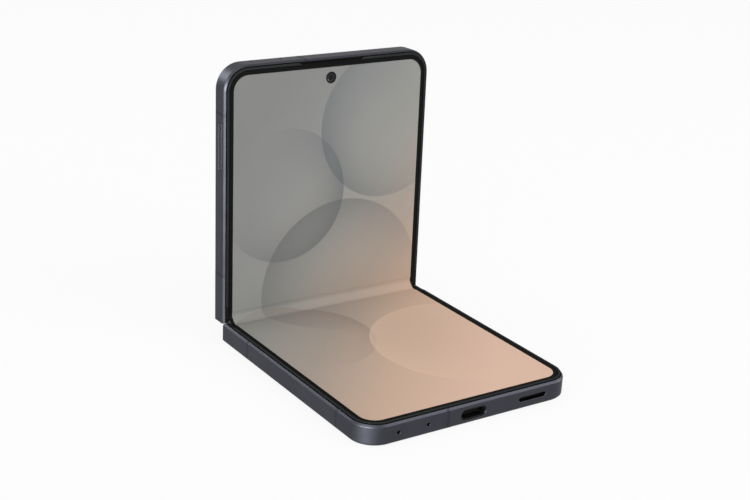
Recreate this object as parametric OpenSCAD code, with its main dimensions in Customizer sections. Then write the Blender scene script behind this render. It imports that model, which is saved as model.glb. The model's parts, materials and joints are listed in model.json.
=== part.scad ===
// Foldable clamshell smartphone, posed half open.
// Millimetres. The lower half lies flat on its back glass and the upper half stands.
// Origin: centre of the lower half's back face. +X to the phone's right, +Y to the fold, +Z up.
// Inside each half, places are given as across (x), along (s, distance from the fold line)
// and depth (d, distance below the screen's surface).

/* [Body] */
// Width of each half
body_w = 75.2; // [74.8:0.1:77]
// Length of each half, from the fold line to its far end
half_l = 83.35; // [83.1:0.05:87]
// Depth of each half, from the screen's surface to the back face
body_t = 6.5; // [6.4:0.05:7.4]
// Outer corner radius at the far ends
corner_r = 8; // [7.5:0.1:8.6]
// Angle between the two screen halves in this pose
open_angle = 91; // [70:1:130]
// Rounding of the back edge at the fold
fold_edge_r = 1; // [0.6:0.1:1.2]
// Gap between each half's end face and the fold line
fold_gap = 0.05; // [0.05:0.01:0.1]

/* [Frame] */
// Thickness of the side walls
wall_t = 1.6; // [1.5:0.05:1.75]
// Width of the bevel beside the screen
bevel_w = 0.5; // [0.3:0.05:0.6]
// Drop of the bevel beside the screen
bevel_h = 0.85; // [0.5:0.05:1]
// Width of the flat land inside the bevel
rim_land = 0.05; // [0.05:0.01:0.1]
// Chamfer at the back edge
back_chamfer = 0.55; // [0.3:0.05:0.7]
// Thickness of the deck under the screen
deck_t = 0.6; // [0.5:0.05:0.65]
// Thickness of the wall in front of the hinge
hinge_wall_t = 1.6; // [1.2:0.1:1.8]
// Length along the half where the deck is doubled
deck_step_l = 12; // [11.5:0.5:13]
// Width of each antenna break
break_w = 1.3; // [1:0.1:1.6]
// Place of the antenna break near the fold
break_near_s = 16.1; // [15:0.1:17]
// Distance of the far antenna break from the far end
break_far_end = 15.15; // [14.5:0.05:16]
// Place across of the antenna break in the end face
break_end_x = -9.1; // [-10:0.1:-8.5]

/* [Back glass] */
// Thickness of the back glass
glass_t = 0.6; // [0.5:0.05:0.65]
// Width of the metal rim round the back glass
glass_rim = 0.9; // [0.8:0.05:1]
// Corner radius of the back glass at the fold
glass_near_r = 1.2; // [0.8:0.1:1.5]

/* [Screen] */
// Thickness of the folding screen
panel_t = 0.5; // [0.4:0.05:0.5]
// Thickness of the steel plate under the screen
backing_t = 0.2; // [0.15:0.01:0.25]
// Width of the raised lip round the screen
lip_w = 1.28; // [1.1:0.02:1.4]
// Height of the lip above the screen
lip_h = 0.3; // [0.2:0.01:0.32]
// Rounding of the lip's upper edges
lip_round = 0.12; // [0.05:0.01:0.15]
// Place along where the lip ends near the fold
lip_end_s = 5.8; // [5.6:0.1:6.5]
// Seam round the lip and round the screen
seam = 0.07; // [0.05:0.01:0.08]
// Half length of the part of the screen that bends
bend_half = 4.2; // [4:0.05:4.5]
// Radius of the hole for the front camera
punch_r = 1.9; // [1.7:0.05:2]
// Distance of the front camera from the far end
punch_end = 6.45; // [6.35:0.05:6.85]

/* [Hinge] */
// Distance of each hinge axis from the fold line
axis_in = 1.6; // [1.58:0.01:1.65]
// Depth of each hinge axis
axis_deep = 1.25; // [1.25:0.01:1.3]
// Outer radius of the hinge cover round each axis
cover_r = 3.75; // [3.7:0.05:3.8]
// Thickness of the hinge cover
cover_t = 0.5; // [0.4:0.05:0.5]
// Running gap round the hinge cover
cover_gap = 0.15; // [0.12:0.01:0.2]
// Thickness of each frame side beside the hinge cover
lug_t = 2.8; // [2.6:0.1:3]
// Depth at which the cover's long edges stop
cover_edge_d = 2.15; // [2.1:0.05:2.3]
// Distance of each hinge station from the side
station_side = 15.6; // [14:0.1:16]
// Radius of the hinge pins
pin_r = 0.25; // [0.2:0.01:0.25]
// Running clearance of a pin in its bore
pin_gap = 0.03; // [0.02:0.005:0.05]
// Radius of the hinge knuckles
knuckle_r = 0.7; // [0.65:0.01:0.7]
// Thickness of the hinge leaves
leaf_t = 0.6; // [0.5:0.05:0.6]
// Width of each hinge leaf
leaf_w = 16; // [14:0.5:17]
// Length of each hinge leaf
leaf_l = 10.6; // [10:0.1:10.8]
// Depth of the top of the leaf arms
arm_d = 1.2; // [1.18:0.01:1.22]
// Tooth module of the timing gears
gear_m = 0.1; // [0.1:0.01:0.1]
// Teeth on each leaf's gear
leaf_teeth = 11; // [11:1:11]
// Teeth on each idler gear
idler_teeth = 24; // [24:1:24]
// Radius of the idler pins
idler_pin_r = 0.3; // [0.25:0.01:0.4]
// Thickness of a friction disc
disc_t = 0.34; // [0.3:0.01:0.36]
// Friction discs on each pin
disc_count = 6; // [4:1:6]

/* [Ports and keys] */
// Depth of the charging socket's centre
usb_d = 3.6; // [3.55:0.05:3.65]
// Width of the charging socket's shell
usb_w = 8.94; // [8.8:0.02:9.1]
// Height of the charging socket's shell
usb_h = 3.16; // [3.1:0.02:3.2]
// Wall of the charging socket's shell
usb_wall = 0.3; // [0.25:0.01:0.35]
// Clearance round the charging socket
usb_gap = 0.13; // [0.1:0.01:0.15]
// Length of the charging socket
usb_l = 7.3; // [7:0.1:7.4]
// Distance of the speaker slot's centre from the right side
speaker_side = 15.85; // [15.6:0.05:16.1]
// Length of the speaker slot
speaker_w = 10.1; // [9.5:0.1:10.5]
// Height of the speaker slot
speaker_h = 1.5; // [1.2:0.05:1.7]
// Depth of the speaker slot's centre
speaker_d = 3.4; // [3.3:0.05:3.5]
// Radius of the microphone holes
mic_r = 0.55; // [0.4:0.05:0.6]
// Distance of the outer microphone from the left side
mic_side = 11.4; // [11.2:0.1:11.6]
// Distance between the two microphones of an end
mic_spacing = 10.2; // [10:0.1:10.4]
// Width of a microphone
mic_w = 3; // [2.6:0.1:3.2]
// Height of a microphone
mic_h = 1.2; // [1.2:0.05:1.4]
// Length of a microphone
mic_l = 1.42; // [1.2:0.02:1.6]
// Depth of the lower microphones
mic_lower_d = 3.5; // [3.3:0.05:3.6]
// Depth of the upper microphones
mic_upper_d = 4.5; // [4.4:0.05:4.6]
// Length of the tray's face
tray_l = 15.4; // [15:0.1:16]
// Height of the tray's face
tray_h = 1.9; // [1.7:0.05:2]
// Distance of the tray's centre from the far end
tray_end = 25.45; // [24.9:0.05:25.9]
// Depth of the tray's centre
tray_d = 3.05; // [3:0.05:3.1]
// Length of the tray's carrier
tray_in = 19; // [18:0.5:20]
// Clearance round the tray and the keys
slot_gap = 0.1; // [0.08:0.01:0.12]
// Length of the volume key
volume_l = 16; // [15:0.5:17]
// Distance of the volume key's centre from the far end
volume_end = 25.35; // [24.35:0.1:26.35]
// Length of the power key
power_l = 12; // [11:0.5:13]
// Distance between the centres of the two keys
key_spacing = 24; // [23:0.5:25]
// Height of the keys
key_h = 2; // [1.8:0.05:2.1]
// Depth of the keys' centre
key_d = 3.2; // [3.1:0.05:3.3]
// How far the keys stand out
key_out = 0.35; // [0.2:0.05:0.45]
// Travel of the keys
key_travel = 0.25; // [0.2:0.01:0.3]
// Length of the earpiece slot
earpiece_w = 23.5; // [22:0.5:24]
// Width of the earpiece slot
earpiece_h = 0.45; // [0.35:0.05:0.5]

/* [Cameras] */
// Outer radius of each rear lens ring
ring_r = 6; // [5.6:0.1:6.2]
// Inner radius of each rear lens ring
ring_in_r = 4.4; // [4:0.1:4.6]
// How far the lens rings stand out of the back
ring_out = 0.9; // [0.5:0.1:1.2]
// Gap between the front camera's module and the inner rear camera's
camera_gap = 3.3; // [3:0.1:3.8]
// Distance between the two rear cameras
camera_spacing = 14.5; // [14:0.1:14.8]
// Distance of the rear cameras from the far end
camera_end = 11.35; // [11.15:0.05:11.55]
// Radius of the flash window
flash_r = 1.8; // [1.5:0.1:2]
// Distance of the flash window from the far end
flash_end = 5.05; // [4.85:0.05:5.15]

/* [Inside] */
// Place along where both batteries begin
battery_s = 18.5; // [18.2:0.1:19]
// Room between both batteries and the side walls
battery_side = 3.5; // [3:0.1:5]
// Distance from the lower battery to the far end
lower_bay = 25.35; // [25:0.05:28]
// Distance from the upper battery to the far end
upper_bay = 39.35; // [39:0.05:41]
// Thickness of the lower battery
battery_lower_t = 3.6; // [3:0.1:3.7]
// Thickness of the upper battery
battery_upper_t = 3; // [2.6:0.1:3.6]
// Inner radius of the charging coil
coil_in_r = 10.5; // [9:0.5:12]
// Outer radius of the charging coil
coil_out_r = 19; // [17:0.5:19.5]
// Thickness of the charging coil
coil_t = 0.3; // [0.2:0.05:0.4]
// Thickness of the circuit boards
board_t = 0.7; // [0.6:0.05:0.75]
// Depth of the main board
board_d = 4; // [3.95:0.05:4.05]
// Room between the main board and the side walls
board_side = 3; // [2.9:0.1:3.2]
// Gap between the upper battery and the main board
board_gap = 2; // [1.8:0.1:2.5]
// Length of the main board's wide part
board_l = 18; // [17.8:0.1:18.2]
// Width of the main board's arm
board_arm_w = 19; // [18:0.5:19.5]
// Gap between the boards' far ends and the end wall
board_end_gap = 1.55; // [1.4:0.05:1.8]
// Width of the main board's larger shield
shield_w = 23.5; // [22:0.5:25]
// Height of the shields on the main board
shield_h = 1.8; // [1.4:0.1:2]
// Depth of the small board
sub_board_d = 3.2; // [3.15:0.05:3.25]
// Length of the small board
sub_board_l = 14.2; // [13:0.1:14.5]
// Width of the loudspeaker
loudspeaker_w = 19; // [17:0.5:19]
// Length of the loudspeaker
loudspeaker_l = 13.5; // [13:0.1:14]
// Width of the loudspeaker's outlet
outlet_w = 13.5; // [12:0.5:14]
// Width of the vibration motor
motor_w = 10; // [8:0.5:10]
// Length of the vibration motor
motor_l = 6; // [5:0.5:7]
// Height of the vibration motor
motor_h = 3; // [2.5:0.1:3.5]
// Depth of the lower half's mid cover
mid_cover_top = 5.2; // [5.15:0.05:5.3]
// Thickness of the lower half's mid cover
mid_cover_t = 0.55; // [0.5:0.01:0.55]
// Length of the magnets
magnet_l = 6.5; // [5:0.5:7]
// Width of the magnets
magnet_w = 2.2; // [1.8:0.1:2.2]
// Height of the magnets
magnet_h = 1.6; // [1:0.1:1.8]
// Side of each rear camera's module
module_w = 10; // [9:0.5:10]
// Radius of the small screws
screw_r = 0.5; // [0.4:0.05:0.55]
// Head radius of the small screws
head_r = 0.95; // [0.8:0.05:1]
// Head height of the small screws
head_h = 0.35; // [0.3:0.05:0.4]

/* [Hidden] */
$fn = 72;
// A small length by which cuts run past a face
over = 0.5;
// Gap between two pieces bonded with adhesive
bond = 0.05;

half_w = body_w / 2;
wall_in = half_w - wall_t;
glass_d = body_t - glass_t;
deck_top = panel_t + backing_t;
deck_low = deck_top + deck_t;
step_low = deck_low + leaf_t;
rim_u = bevel_w + rim_land;
lip_u = rim_u + seam;
panel_u = lip_u + lip_w + seam;
panel_half_w = half_w - panel_u;
panel_far = half_l - panel_u;
panel_r = corner_r - panel_u;
end_in = half_l - wall_t;

// The fold: each half turns by the same angle about its own axis
fold_a = (180 - open_angle) / 2;
cavity_r = cover_r + cover_gap;
cavity_end = axis_in + cavity_r;
cavity_d = axis_deep + cavity_r;
hinge_wall_end = cavity_end + hinge_wall_t;
cover_half_l = half_w - lug_t - cover_gap;
cover_in_r = cover_r - cover_t;
step_end = cavity_end + deck_step_l;
station_x = half_w - station_side;

// Hinge stations, measured from each station's centre
arm_x = [-0.4, 2.2];
knuckle_x = [-0.5, 2.3];
gear_x = [-2.2, -0.5];
idler_x = [-2.1, -0.8];
cheek_x = [-4, -2.5, 2.5, 4];
foot_l = 3;
foot_t = 0.5;
pin_end = 8;
arm_t = 0.6;
leaf_s = cavity_end + 0.1;
leaf_end = leaf_s + leaf_l;
leaf_screws = [for (s = [leaf_s + 3.4, leaf_end - 2.2]) for (x = [-1, 1])
    [x * (leaf_w / 2 - 2), s]];
// A length that reaches past the whole hinge cover
past_cover = 10;

// Timing gears
leaf_gear_r = gear_m * leaf_teeth / 2;
idler_r = gear_m * idler_teeth / 2;
idler_in = idler_r;
idler_deep = axis_deep + sqrt(pow(leaf_gear_r + idler_r, 2) - pow(axis_in - idler_in, 2));
// Direction from the lower axis to its idler, and from the upper idler to the upper axis
mesh_low = atan2(axis_deep - idler_deep, axis_in - idler_in);
mesh_up = -mesh_low;
idler_pitch = 360 / idler_teeth;
function wrap(angle, step) = angle - step * floor(angle / step);
// Each gear has a tooth where the gear before it has a gap
phase_leaf_low = mesh_low;
phase_idler_low = mesh_low + 180 + idler_pitch / 2;
phase_idler_up = 180 - wrap(phase_idler_low, idler_pitch) + idler_pitch / 2;
mesh_shift = wrap(phase_idler_up - mesh_up, idler_pitch) * idler_teeth / leaf_teeth;
phase_leaf_up = mesh_up + 180 - mesh_shift + 180 / leaf_teeth;
idler_turn = fold_a * leaf_teeth / idler_teeth;

// The bent part of the screen, in the hinge cover's own frame
crease_run = (axis_in - axis_deep * sin(fold_a)) / cos(fold_a);
crease_z = -axis_deep + axis_deep * cos(fold_a) - crease_run * sin(fold_a);
bend_r = -crease_z / (1 / cos(fold_a) - 1);
bend_start = axis_in - crease_run + bend_r * tan(fold_a);

// Half the side and the depth of the front camera's module
eye_half = 3.2;
eye_bottom = 5;

// Places that keep their distance from a side or from the far end
break_far_s = half_l - break_far_end;
punch_s = half_l - punch_end;
speaker_x = half_w - speaker_side;
mic_outer_x = mic_side - half_w;
mic_inner_x = mic_outer_x + mic_spacing;
mic_s = [end_in - bond - mic_l, end_in - bond];
tray_s = half_l - tray_end;
volume_s = half_l - volume_end;
power_s = volume_s - key_spacing;
camera_inner_x = eye_half + camera_gap + module_w / 2;
camera_outer_x = camera_inner_x + camera_spacing;
camera_s = half_l - camera_end;
flash_x = (camera_outer_x + camera_inner_x) / 2;
flash_s = half_l - flash_end;

// Shared places inside the halves
battery_top = deck_low + 2 * bond;
battery_half_w = wall_in - battery_side;
battery_lower_end = half_l - lower_bay;
battery_upper_end = half_l - upper_bay;
board_end = end_in - board_end_gap;
board_half_w = wall_in - board_side;
board_start = battery_upper_end + board_gap;
board_step = board_start + board_l;
sub_board_start = board_end - sub_board_l;
sub_board_x = [2.5 - battery_half_w, speaker_x - loudspeaker_w / 2 - 1.05];
port_start = half_l - 0.15 - usb_l;
screw_bore = screw_r + 0.02;
board_post_r = 1.6;
cover_post_r = 1.5;
mid_cover_start = battery_lower_end + 2;
mid_cover_d = [mid_cover_top, mid_cover_top + mid_cover_t];
// Room from a wall to the posts beside it, and in the rounded corners
post_side = cover_post_r + 0.1;
corner_side = post_side + 2;
cover_posts = [for (side = [-1, 1]) for (place = [
    [wall_in - post_side, mid_cover_start + 2], [wall_in - corner_side, board_end - 2.2]
]) [side * place[0], place[1]]];
sub_board_posts = [for (x = [sub_board_x[0] + 4, sub_board_x[1] - 3.2]) [x, sub_board_start + 3]];
main_board_posts = [
    [3.5 - board_half_w, board_start + 2.5], [board_half_w - 3, board_start + 2.5],
    [3.5 - board_half_w, board_end - 2.7]
];
// The earpiece speaker fits between the main board's arm and the front camera
earpiece_x = [board_arm_w - board_half_w + 0.5, -eye_half - 0.8];
earpiece_l = 7.55;
earpiece_t = 2.8;
magnet_x = [wall_in - 0.2 - magnet_w, wall_in - 0.2];
magnet_s = [end_in - 7.75 - magnet_l, end_in - 7.75];
flex_x = [1.5, 9];
flex_t = 0.15;
flex_d = 1.6;
flex_end_s = 9.4;
flex_low_z = -3.9;
switch_x = wall_in - 1.05;
key_in = switch_x + key_travel + 0.05;
key_flange_x = wall_in - 0.15;
reader_gap = 0.15;
reader_t = 0.25;
carrier_t = 1.1;
carrier_w = 14;
carrier_start = -half_w + 1;
carrier_end = -half_w + 1 + tray_in;
card = [12.3, 8.8, 0.67];

// ---------- Frames of reference ----------

// Half coordinates of the lower half, which lies flat
module at_lower() {
    translate([0, half_l / 2, body_t]) children();
}

// The hinge cover, turned by the fold angle about the lower axis
module at_spine() {
    at_lower() turn_about(-axis_in, -axis_deep, fold_a) children();
}

// The upper half, turned by the fold angle again about the upper axis
module at_upper() {
    at_spine() turn_about(axis_in, -axis_deep, fold_a) mirror([0, 1, 0]) children();
}

module turn_about(y, z, angle) {
    translate([0, y, z]) rotate([angle, 0, 0]) translate([0, -y, -z]) children();
}

// ---------- Shapes in half coordinates ----------

module block(x, s, d) {
    translate([x[0], -s[1], -d[1]]) cube([x[1] - x[0], s[1] - s[0], d[1] - d[0]]);
}

module post(place, r, d) {
    translate([place[0], -place[1], -d[1]]) cylinder(r = r, h = d[1] - d[0]);
}

// An outline in the side view, drawn as (-along, -depth), run across the phone
module across(x) {
    translate([x[0], 0, 0]) rotate([90, 0, 90]) linear_extrude(x[1] - x[0]) children();
}

// An outline in the end view, drawn as (across, depth), run along the half
module along(s) {
    translate([0, -s[1], 0]) rotate([-90, 0, 0]) linear_extrude(s[1] - s[0]) children();
}

module pill(length, height) {
    square([length - height, height], center = true);
    for (side = [-1, 1]) translate([side * (length - height) / 2, 0]) circle(height / 2);
}

// A plate with rounded corners at the far end, and at the fold end if near_r is given
module plate(half, s, r, d, near_r = 0) {
    translate([0, 0, -d[1]]) linear_extrude(d[1] - d[0]) {
        translate([-half, -s[1] + r]) square([2 * half, s[1] - r - s[0] - near_r]);
        translate([-half + r, -s[1]]) square([2 * (half - r), r]);
        for (side = [-1, 1]) translate([side * (half - r), -s[1] + r]) circle(r);
        if (near_r > 0) {
            translate([-half + near_r, -s[0] - near_r]) square([2 * (half - near_r), near_r]);
            for (side = [-1, 1]) translate([side * (half - near_r), -s[0] - near_r]) circle(near_r);
        }
    }
}

// A section, drawn as (distance inside the outer face, height), run along one straight wall
module wall_run(outer, from, to) {
    translate([0, -from, 0]) rotate([90, 0, 0]) linear_extrude(to - from)
        translate([outer, 0]) mirror([1, 0]) children();
}

// The same section run along both sides, round both far corners and across the far end
module wall_sweep(from) {
    straight = half_l - corner_r;
    for (side = [0, 1]) mirror([side, 0, 0]) {
        wall_run(half_w, from, straight) children();
        translate([half_w - corner_r, -straight, 0]) rotate([0, 0, -90])
            rotate_extrude(angle = 90) translate([corner_r, 0]) mirror([1, 0]) children();
    }
    rotate([0, 0, -90]) wall_run(half_l, corner_r - half_w, half_w - corner_r) children();
}

// ---------- Frame ----------

module wall_section() {
    polygon([
        [0, -bevel_h], [bevel_w, 0], [rim_u, 0], [rim_u, -deck_top], [wall_t, -deck_top],
        [wall_t, -body_t], [back_chamfer, -body_t], [0, -body_t + back_chamfer]
    ]);
}

// Side view of a half: its corners at the fold clear the other half in every pose
module half_side() {
    far = half_l + 1;
    translate([-axis_in, -axis_deep]) circle(axis_in - fold_gap);
    translate([-far, -axis_deep]) square([far - axis_in, axis_deep + 0.01]);
    translate([-far, -body_t + fold_edge_r]) square([far - fold_gap, body_t - fold_edge_r - axis_deep]);
    translate([-far, -body_t - 0.01]) square([far - fold_gap - fold_edge_r, fold_edge_r + 0.02]);
    translate([-fold_gap - fold_edge_r, -body_t + fold_edge_r]) circle(fold_edge_r);
}

// Side view of the space that the hinge cover and the leaf arms need
module hinge_space() {
    translate([-axis_in, -axis_deep]) circle(cavity_r);
    translate([-axis_in, -cavity_d]) square([axis_in + 1, cavity_d + 1]);
    translate([-cavity_end, -axis_deep]) square([cavity_end + 1, axis_deep + 1]);
}

module glass_pocket() {
    plate(half_w - glass_rim, [glass_rim, half_l - glass_rim], corner_r - glass_rim,
        [glass_d, body_t + over], glass_near_r);
}

module break_slabs() {
    outer = half_w + 1;
    for (side = [0, 1]) mirror([side, 0, 0]) for (s = [break_near_s, break_far_s])
        block([wall_in, outer], [s - break_w / 2, s + break_w / 2], [-over, body_t + over]);
    block([break_end_x - break_w / 2, break_end_x + break_w / 2], [end_in, half_l + 1],
        [-over, body_t + over]);
}

module antenna_breaks() {
    difference() {
        intersection() {
            wall_sweep(fold_gap) wall_section();
            break_slabs();
        }
        glass_pocket();
    }
}

// What both frames share: walls, deck, the wall before the hinge and the two fold lugs
module frame_core() {
    lug_in = half_w - lug_t;
    inner = wall_in + 0.2;
    difference() {
        intersection() {
            union() {
                wall_sweep(fold_gap) wall_section();
                plate(inner, [cavity_end, end_in + 0.2], corner_r - wall_t + 0.2,
                    [deck_top, deck_low]);
                block([-inner, inner], [cavity_end, step_end], [deck_top, step_low]);
                block([-inner, inner], [cavity_end, hinge_wall_end], [step_low, body_t]);
                block([-inner, inner], [0, hinge_wall_end], [cavity_d, body_t]);
                for (side = [0, 1]) mirror([side, 0, 0])
                    block([lug_in, inner], [0, hinge_wall_end], [deck_top, body_t]);
            }
            across([-half_w - 1, half_w + 1]) half_side();
        }
        across([-lug_in, lug_in]) hinge_space();
        block([-panel_half_w - seam, panel_half_w + seam], [-1, cavity_end], [-1, step_low]);
        for (station = [-1, 1]) translate([station * station_x, 0, 0]) leaf_pocket();
        for (side = [0, 1]) mirror([side, 0, 0])
            block([flex_x[0] - 0.3, flex_x[1] + 0.3], [cavity_end - 1, flex_end_s + 0.3],
                [deck_low, step_low + 0.01]);
        glass_pocket();
        break_slabs();
    }
}

// Seat for a hinge leaf, with its arm's notch and its screw holes
module leaf_pocket() {
    block([-leaf_w / 2 - 0.1, leaf_w / 2 + 0.1], [cavity_end - 1, leaf_end + 0.1],
        [-over, deck_low]);
    block([arm_x[0] - 0.2, arm_x[1] + 0.2], [cavity_end - 1, leaf_s + 0.9], [-over, step_low]);
    for (place = leaf_screws) post(place, screw_bore, [deck_low - over, step_low + over]);
}

module lower_frame() {
    color("#4b4c52") at_lower() difference() {
        union() {
            frame_core();
            for (place = cover_posts) post(place, cover_post_r, [deck_low - 0.1, mid_cover_d[0]]);
            for (place = sub_board_posts)
                post(place, board_post_r, [deck_low - 0.1, sub_board_d]);
        }
        for (place = cover_posts) post(place, screw_bore, [deck_low + 1, mid_cover_d[0] + over]);
        for (place = sub_board_posts) post(place, screw_bore, [deck_low, sub_board_d + over]);
        along([end_in - over, half_l + 1]) translate([0, usb_d])
            pill(usb_w + 2 * usb_gap, usb_h + 2 * usb_gap);
        along([end_in - over, half_l + 1]) translate([speaker_x, speaker_d])
            pill(speaker_w, speaker_h);
        microphone_holes(mic_lower_d);
    }
}

module microphone_holes(depth) {
    for (x = [mic_outer_x, mic_inner_x])
        along([end_in - over, half_l + 1]) translate([x, depth]) circle(mic_r);
}

module upper_frame() {
    color("#4b4c52") at_upper() difference() {
        union() {
            frame_core();
            for (place = main_board_posts)
                post(place, board_post_r, [deck_low - 0.1, board_d]);
        }
        for (place = main_board_posts) post(place, screw_bore, [deck_low, board_d + over]);
        across([-half_w - 1, -wall_in + over]) translate([-tray_s, -tray_d])
            pill(tray_l + 2 * slot_gap, tray_h + 2 * slot_gap);
        across([wall_in - over, half_w + 1]) translate([-volume_s, -key_d])
            pill(volume_l + 2.4 * slot_gap, key_h + 2 * slot_gap);
        across([wall_in - over, half_w + 1]) translate([-power_s, -key_d])
            pill(power_l + 2 * slot_gap, key_h + 2 * slot_gap);
        microphone_holes(mic_upper_d);
        block([-eye_half - 0.3, eye_half + 0.3],
            [punch_s - eye_half - 0.3, punch_s + eye_half + 0.3], [0, deck_low + over]);
        earpiece_pocket();
        block([earpiece_x[0] + 2.5, earpiece_x[1] - 1], [end_in - over, half_l - rim_u],
            [deck_top, deck_low + 1.2]);
    }
}

module lower_antenna_breaks() {
    color("#3f4045") at_lower() antenna_breaks();
}

module upper_antenna_breaks() {
    color("#3f4045") at_upper() difference() {
        antenna_breaks();
        earpiece_pocket();
    }
}

// Room in the upper frame's rim for the earpiece mesh
module earpiece_pocket() {
    block([-earpiece_w / 2, earpiece_w / 2], [half_l - lip_u - earpiece_h, half_l - rim_u],
        [0, deck_top + 0.2]);
}

// ---------- Glass ----------

module back_plate() {
    inset = glass_rim + bond;
    plate(half_w - inset, [inset, half_l - inset], corner_r - inset, [glass_d, body_t],
        glass_near_r - bond);
}

module lower_back_glass() {
    color("#3d3e44") at_lower() back_plate();
}

module cover_glass() {
    color("#141416") at_upper() difference() {
        back_plate();
        for (x = [camera_outer_x, camera_inner_x])
            post([x, camera_s], ring_r + bond, [glass_d - over, body_t + over]);
        post([flash_x, flash_s], flash_r + bond, [glass_d - over, body_t + over]);
    }
}

module cover_display() {
    color("#0c0c0f") at_upper()
        plate(wall_in - 3, [hinge_wall_end + 0.9, camera_s - ring_r - 4], 2,
            [glass_d - 0.55, glass_d], 2);
}

// ---------- Screen ----------

module lip_section() {
    translate([lip_u, 0]) polygon([
        [0, -deck_top], [0, lip_h - lip_round], [lip_round, lip_h], [lip_w - lip_round, lip_h],
        [lip_w, lip_h - lip_round], [lip_w, -deck_top]
    ]);
}

module lower_bezel() {
    color("#303234") at_lower() wall_sweep(lip_end_s) lip_section();
}

module upper_bezel() {
    color("#303234") at_upper() difference() {
        wall_sweep(lip_end_s) lip_section();
        block([-earpiece_w / 2, earpiece_w / 2],
            [half_l - lip_u - earpiece_h, half_l - lip_u + over], [-1, deck_top + over]);
    }
}

module fold_caps() {
    cap_in = half_w - lip_u - lip_w;
    cap_out = half_w - lip_u;
    for (side = [0, 1]) mirror([side, 0, 0]) intersection() {
        block([cap_in, cap_out], [0, lip_end_s - seam], [seam, deck_top]);
        across([cap_in - 1, cap_out + 1]) offset_side();
    }
}

// Side view of a half near the fold, a little inside its outline
module offset_side() {
    translate([-axis_in, -axis_deep]) circle(axis_in - fold_gap - 0.05);
    translate([-lip_end_s - 1, -axis_deep]) square([lip_end_s + 1 - axis_in, axis_deep]);
}

module lower_fold_caps() {
    color("#141414") at_lower() fold_caps();
}

module upper_fold_caps() {
    color("#141414") at_upper() fold_caps();
}

module display_lower() {
    color("#cdb09a") at_lower() plate(panel_half_w, [bend_half, panel_far], panel_r, [0, panel_t]);
}

module display_upper() {
    color("#9a9a92") at_upper() difference() {
        plate(panel_half_w, [bend_half, panel_far], panel_r, [0, panel_t]);
        post([0, punch_s], punch_r, [-over, panel_t + over]);
    }
}

// Points of the bent screen's side view, at a radius from the bend's centre
function bend_point(r, turn) = [r * sin(turn), bend_r - r * cos(turn)];
function bend_end(r, side) =
    bend_point(r, side * fold_a) + (bend_half - bend_start) * [side * cos(fold_a), sin(fold_a)];

module display_fold() {
    steps = 10;
    sweep_r = bend_r + panel_t;
    color("#a8a89c") at_spine() across([-panel_half_w, panel_half_w]) polygon([
        bend_end(bend_r, -1),
        for (k = [-steps:steps]) bend_point(bend_r, k * fold_a / steps),
        bend_end(bend_r, 1),
        bend_end(sweep_r, 1),
        for (k = [-steps:steps]) bend_point(sweep_r, -k * fold_a / steps),
        bend_end(sweep_r, -1)
    ]);
}

module display_plate() {
    plate(panel_half_w - 0.2, [bend_half + 0.5, panel_far - 0.2], panel_r - 0.2,
        [panel_t, deck_top]);
}

module lower_display_plate() {
    color("#8a8c90") at_lower() display_plate();
}

module upper_display_plate() {
    color("#8a8c90") at_upper() difference() {
        display_plate();
        post([0, punch_s], punch_r + 0.7, [0, deck_low]);
    }
}

// ---------- Inside the lower half ----------

module lower_battery() {
    color("#26272b") at_lower()
        plate(battery_half_w, [battery_s, battery_lower_end], 1.5,
            [battery_top, battery_top + battery_lower_t], 1.5);
}

module charging_coil() {
    coil_d = battery_top + battery_lower_t + bond;
    centre = [0, (battery_s + battery_lower_end) / 2];
    color("#b87333") at_lower() difference() {
        post(centre, coil_out_r, [coil_d, coil_d + coil_t]);
        post(centre, coil_in_r, [coil_d - over, coil_d + coil_t + over]);
    }
}

module sub_board() {
    notch = usb_w / 2 + usb_gap;
    color("#1f5a3a") at_lower() difference() {
        block(sub_board_x, [sub_board_start, board_end], [sub_board_d, sub_board_d + board_t]);
        block([-notch, notch], [port_start - usb_gap, board_end + over],
            [sub_board_d - over, sub_board_d + board_t + over]);
        for (place = sub_board_posts)
            post(place, screw_bore, [sub_board_d - over, sub_board_d + board_t + over]);
    }
}

module usb_c_port() {
    tongue_w = usb_w - 2.26;
    tongue_t = 0.7;
    back_t = 0.8;
    color("#b9bbbf") at_lower() {
        difference() {
            along([port_start, port_start + usb_l]) translate([0, usb_d]) pill(usb_w, usb_h);
            along([port_start + back_t, half_l]) translate([0, usb_d])
                pill(usb_w - 2 * usb_wall, usb_h - 2 * usb_wall);
        }
        block([-tongue_w / 2, tongue_w / 2], [port_start + back_t - 0.3, port_start + usb_l - 1.1],
            [usb_d - tongue_t / 2, usb_d + tongue_t / 2]);
    }
}

module loudspeaker() {
    start = mid_cover_start + 2.5;
    back = start + loudspeaker_l;
    color("#1c1c1e") at_lower() {
        block([speaker_x - loudspeaker_w / 2, speaker_x + loudspeaker_w / 2], [start, back],
            [battery_top, mid_cover_d[0] - bond]);
        block([speaker_x - outlet_w / 2, speaker_x + outlet_w / 2], [back - 0.1, mesh_s[0] - 0.1],
            [battery_top, speaker_d + speaker_h / 2 + 0.85]);
    }
}

// Where the speaker's mesh stands along the half
mesh_s = [end_in - 0.5, end_in - 0.1];

module speaker_mesh() {
    rim = 1.15;
    hole_r = 0.35;
    pitch = 3 * hole_r;
    color("#101012") at_lower() difference() {
        block([speaker_x - speaker_w / 2 - rim, speaker_x + speaker_w / 2 + rim], mesh_s,
            [speaker_d - speaker_h / 2 - 0.55, speaker_d + speaker_h / 2 + 0.55]);
        for (k = [-4:4]) along([end_in - 1, end_in + 1])
            translate([speaker_x + k * pitch, speaker_d]) circle(hole_r);
    }
}

module microphones(depth) {
    for (x = [mic_outer_x, mic_inner_x])
        block([x - mic_w / 2, x + mic_w / 2], mic_s, [depth - mic_h / 2, depth + mic_h / 2]);
}

module bottom_microphones() {
    color("#a8a9ad") at_lower() microphones(mic_lower_d);
}

module top_microphones() {
    color("#a8a9ad") at_upper() microphones(mic_upper_d);
}

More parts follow.
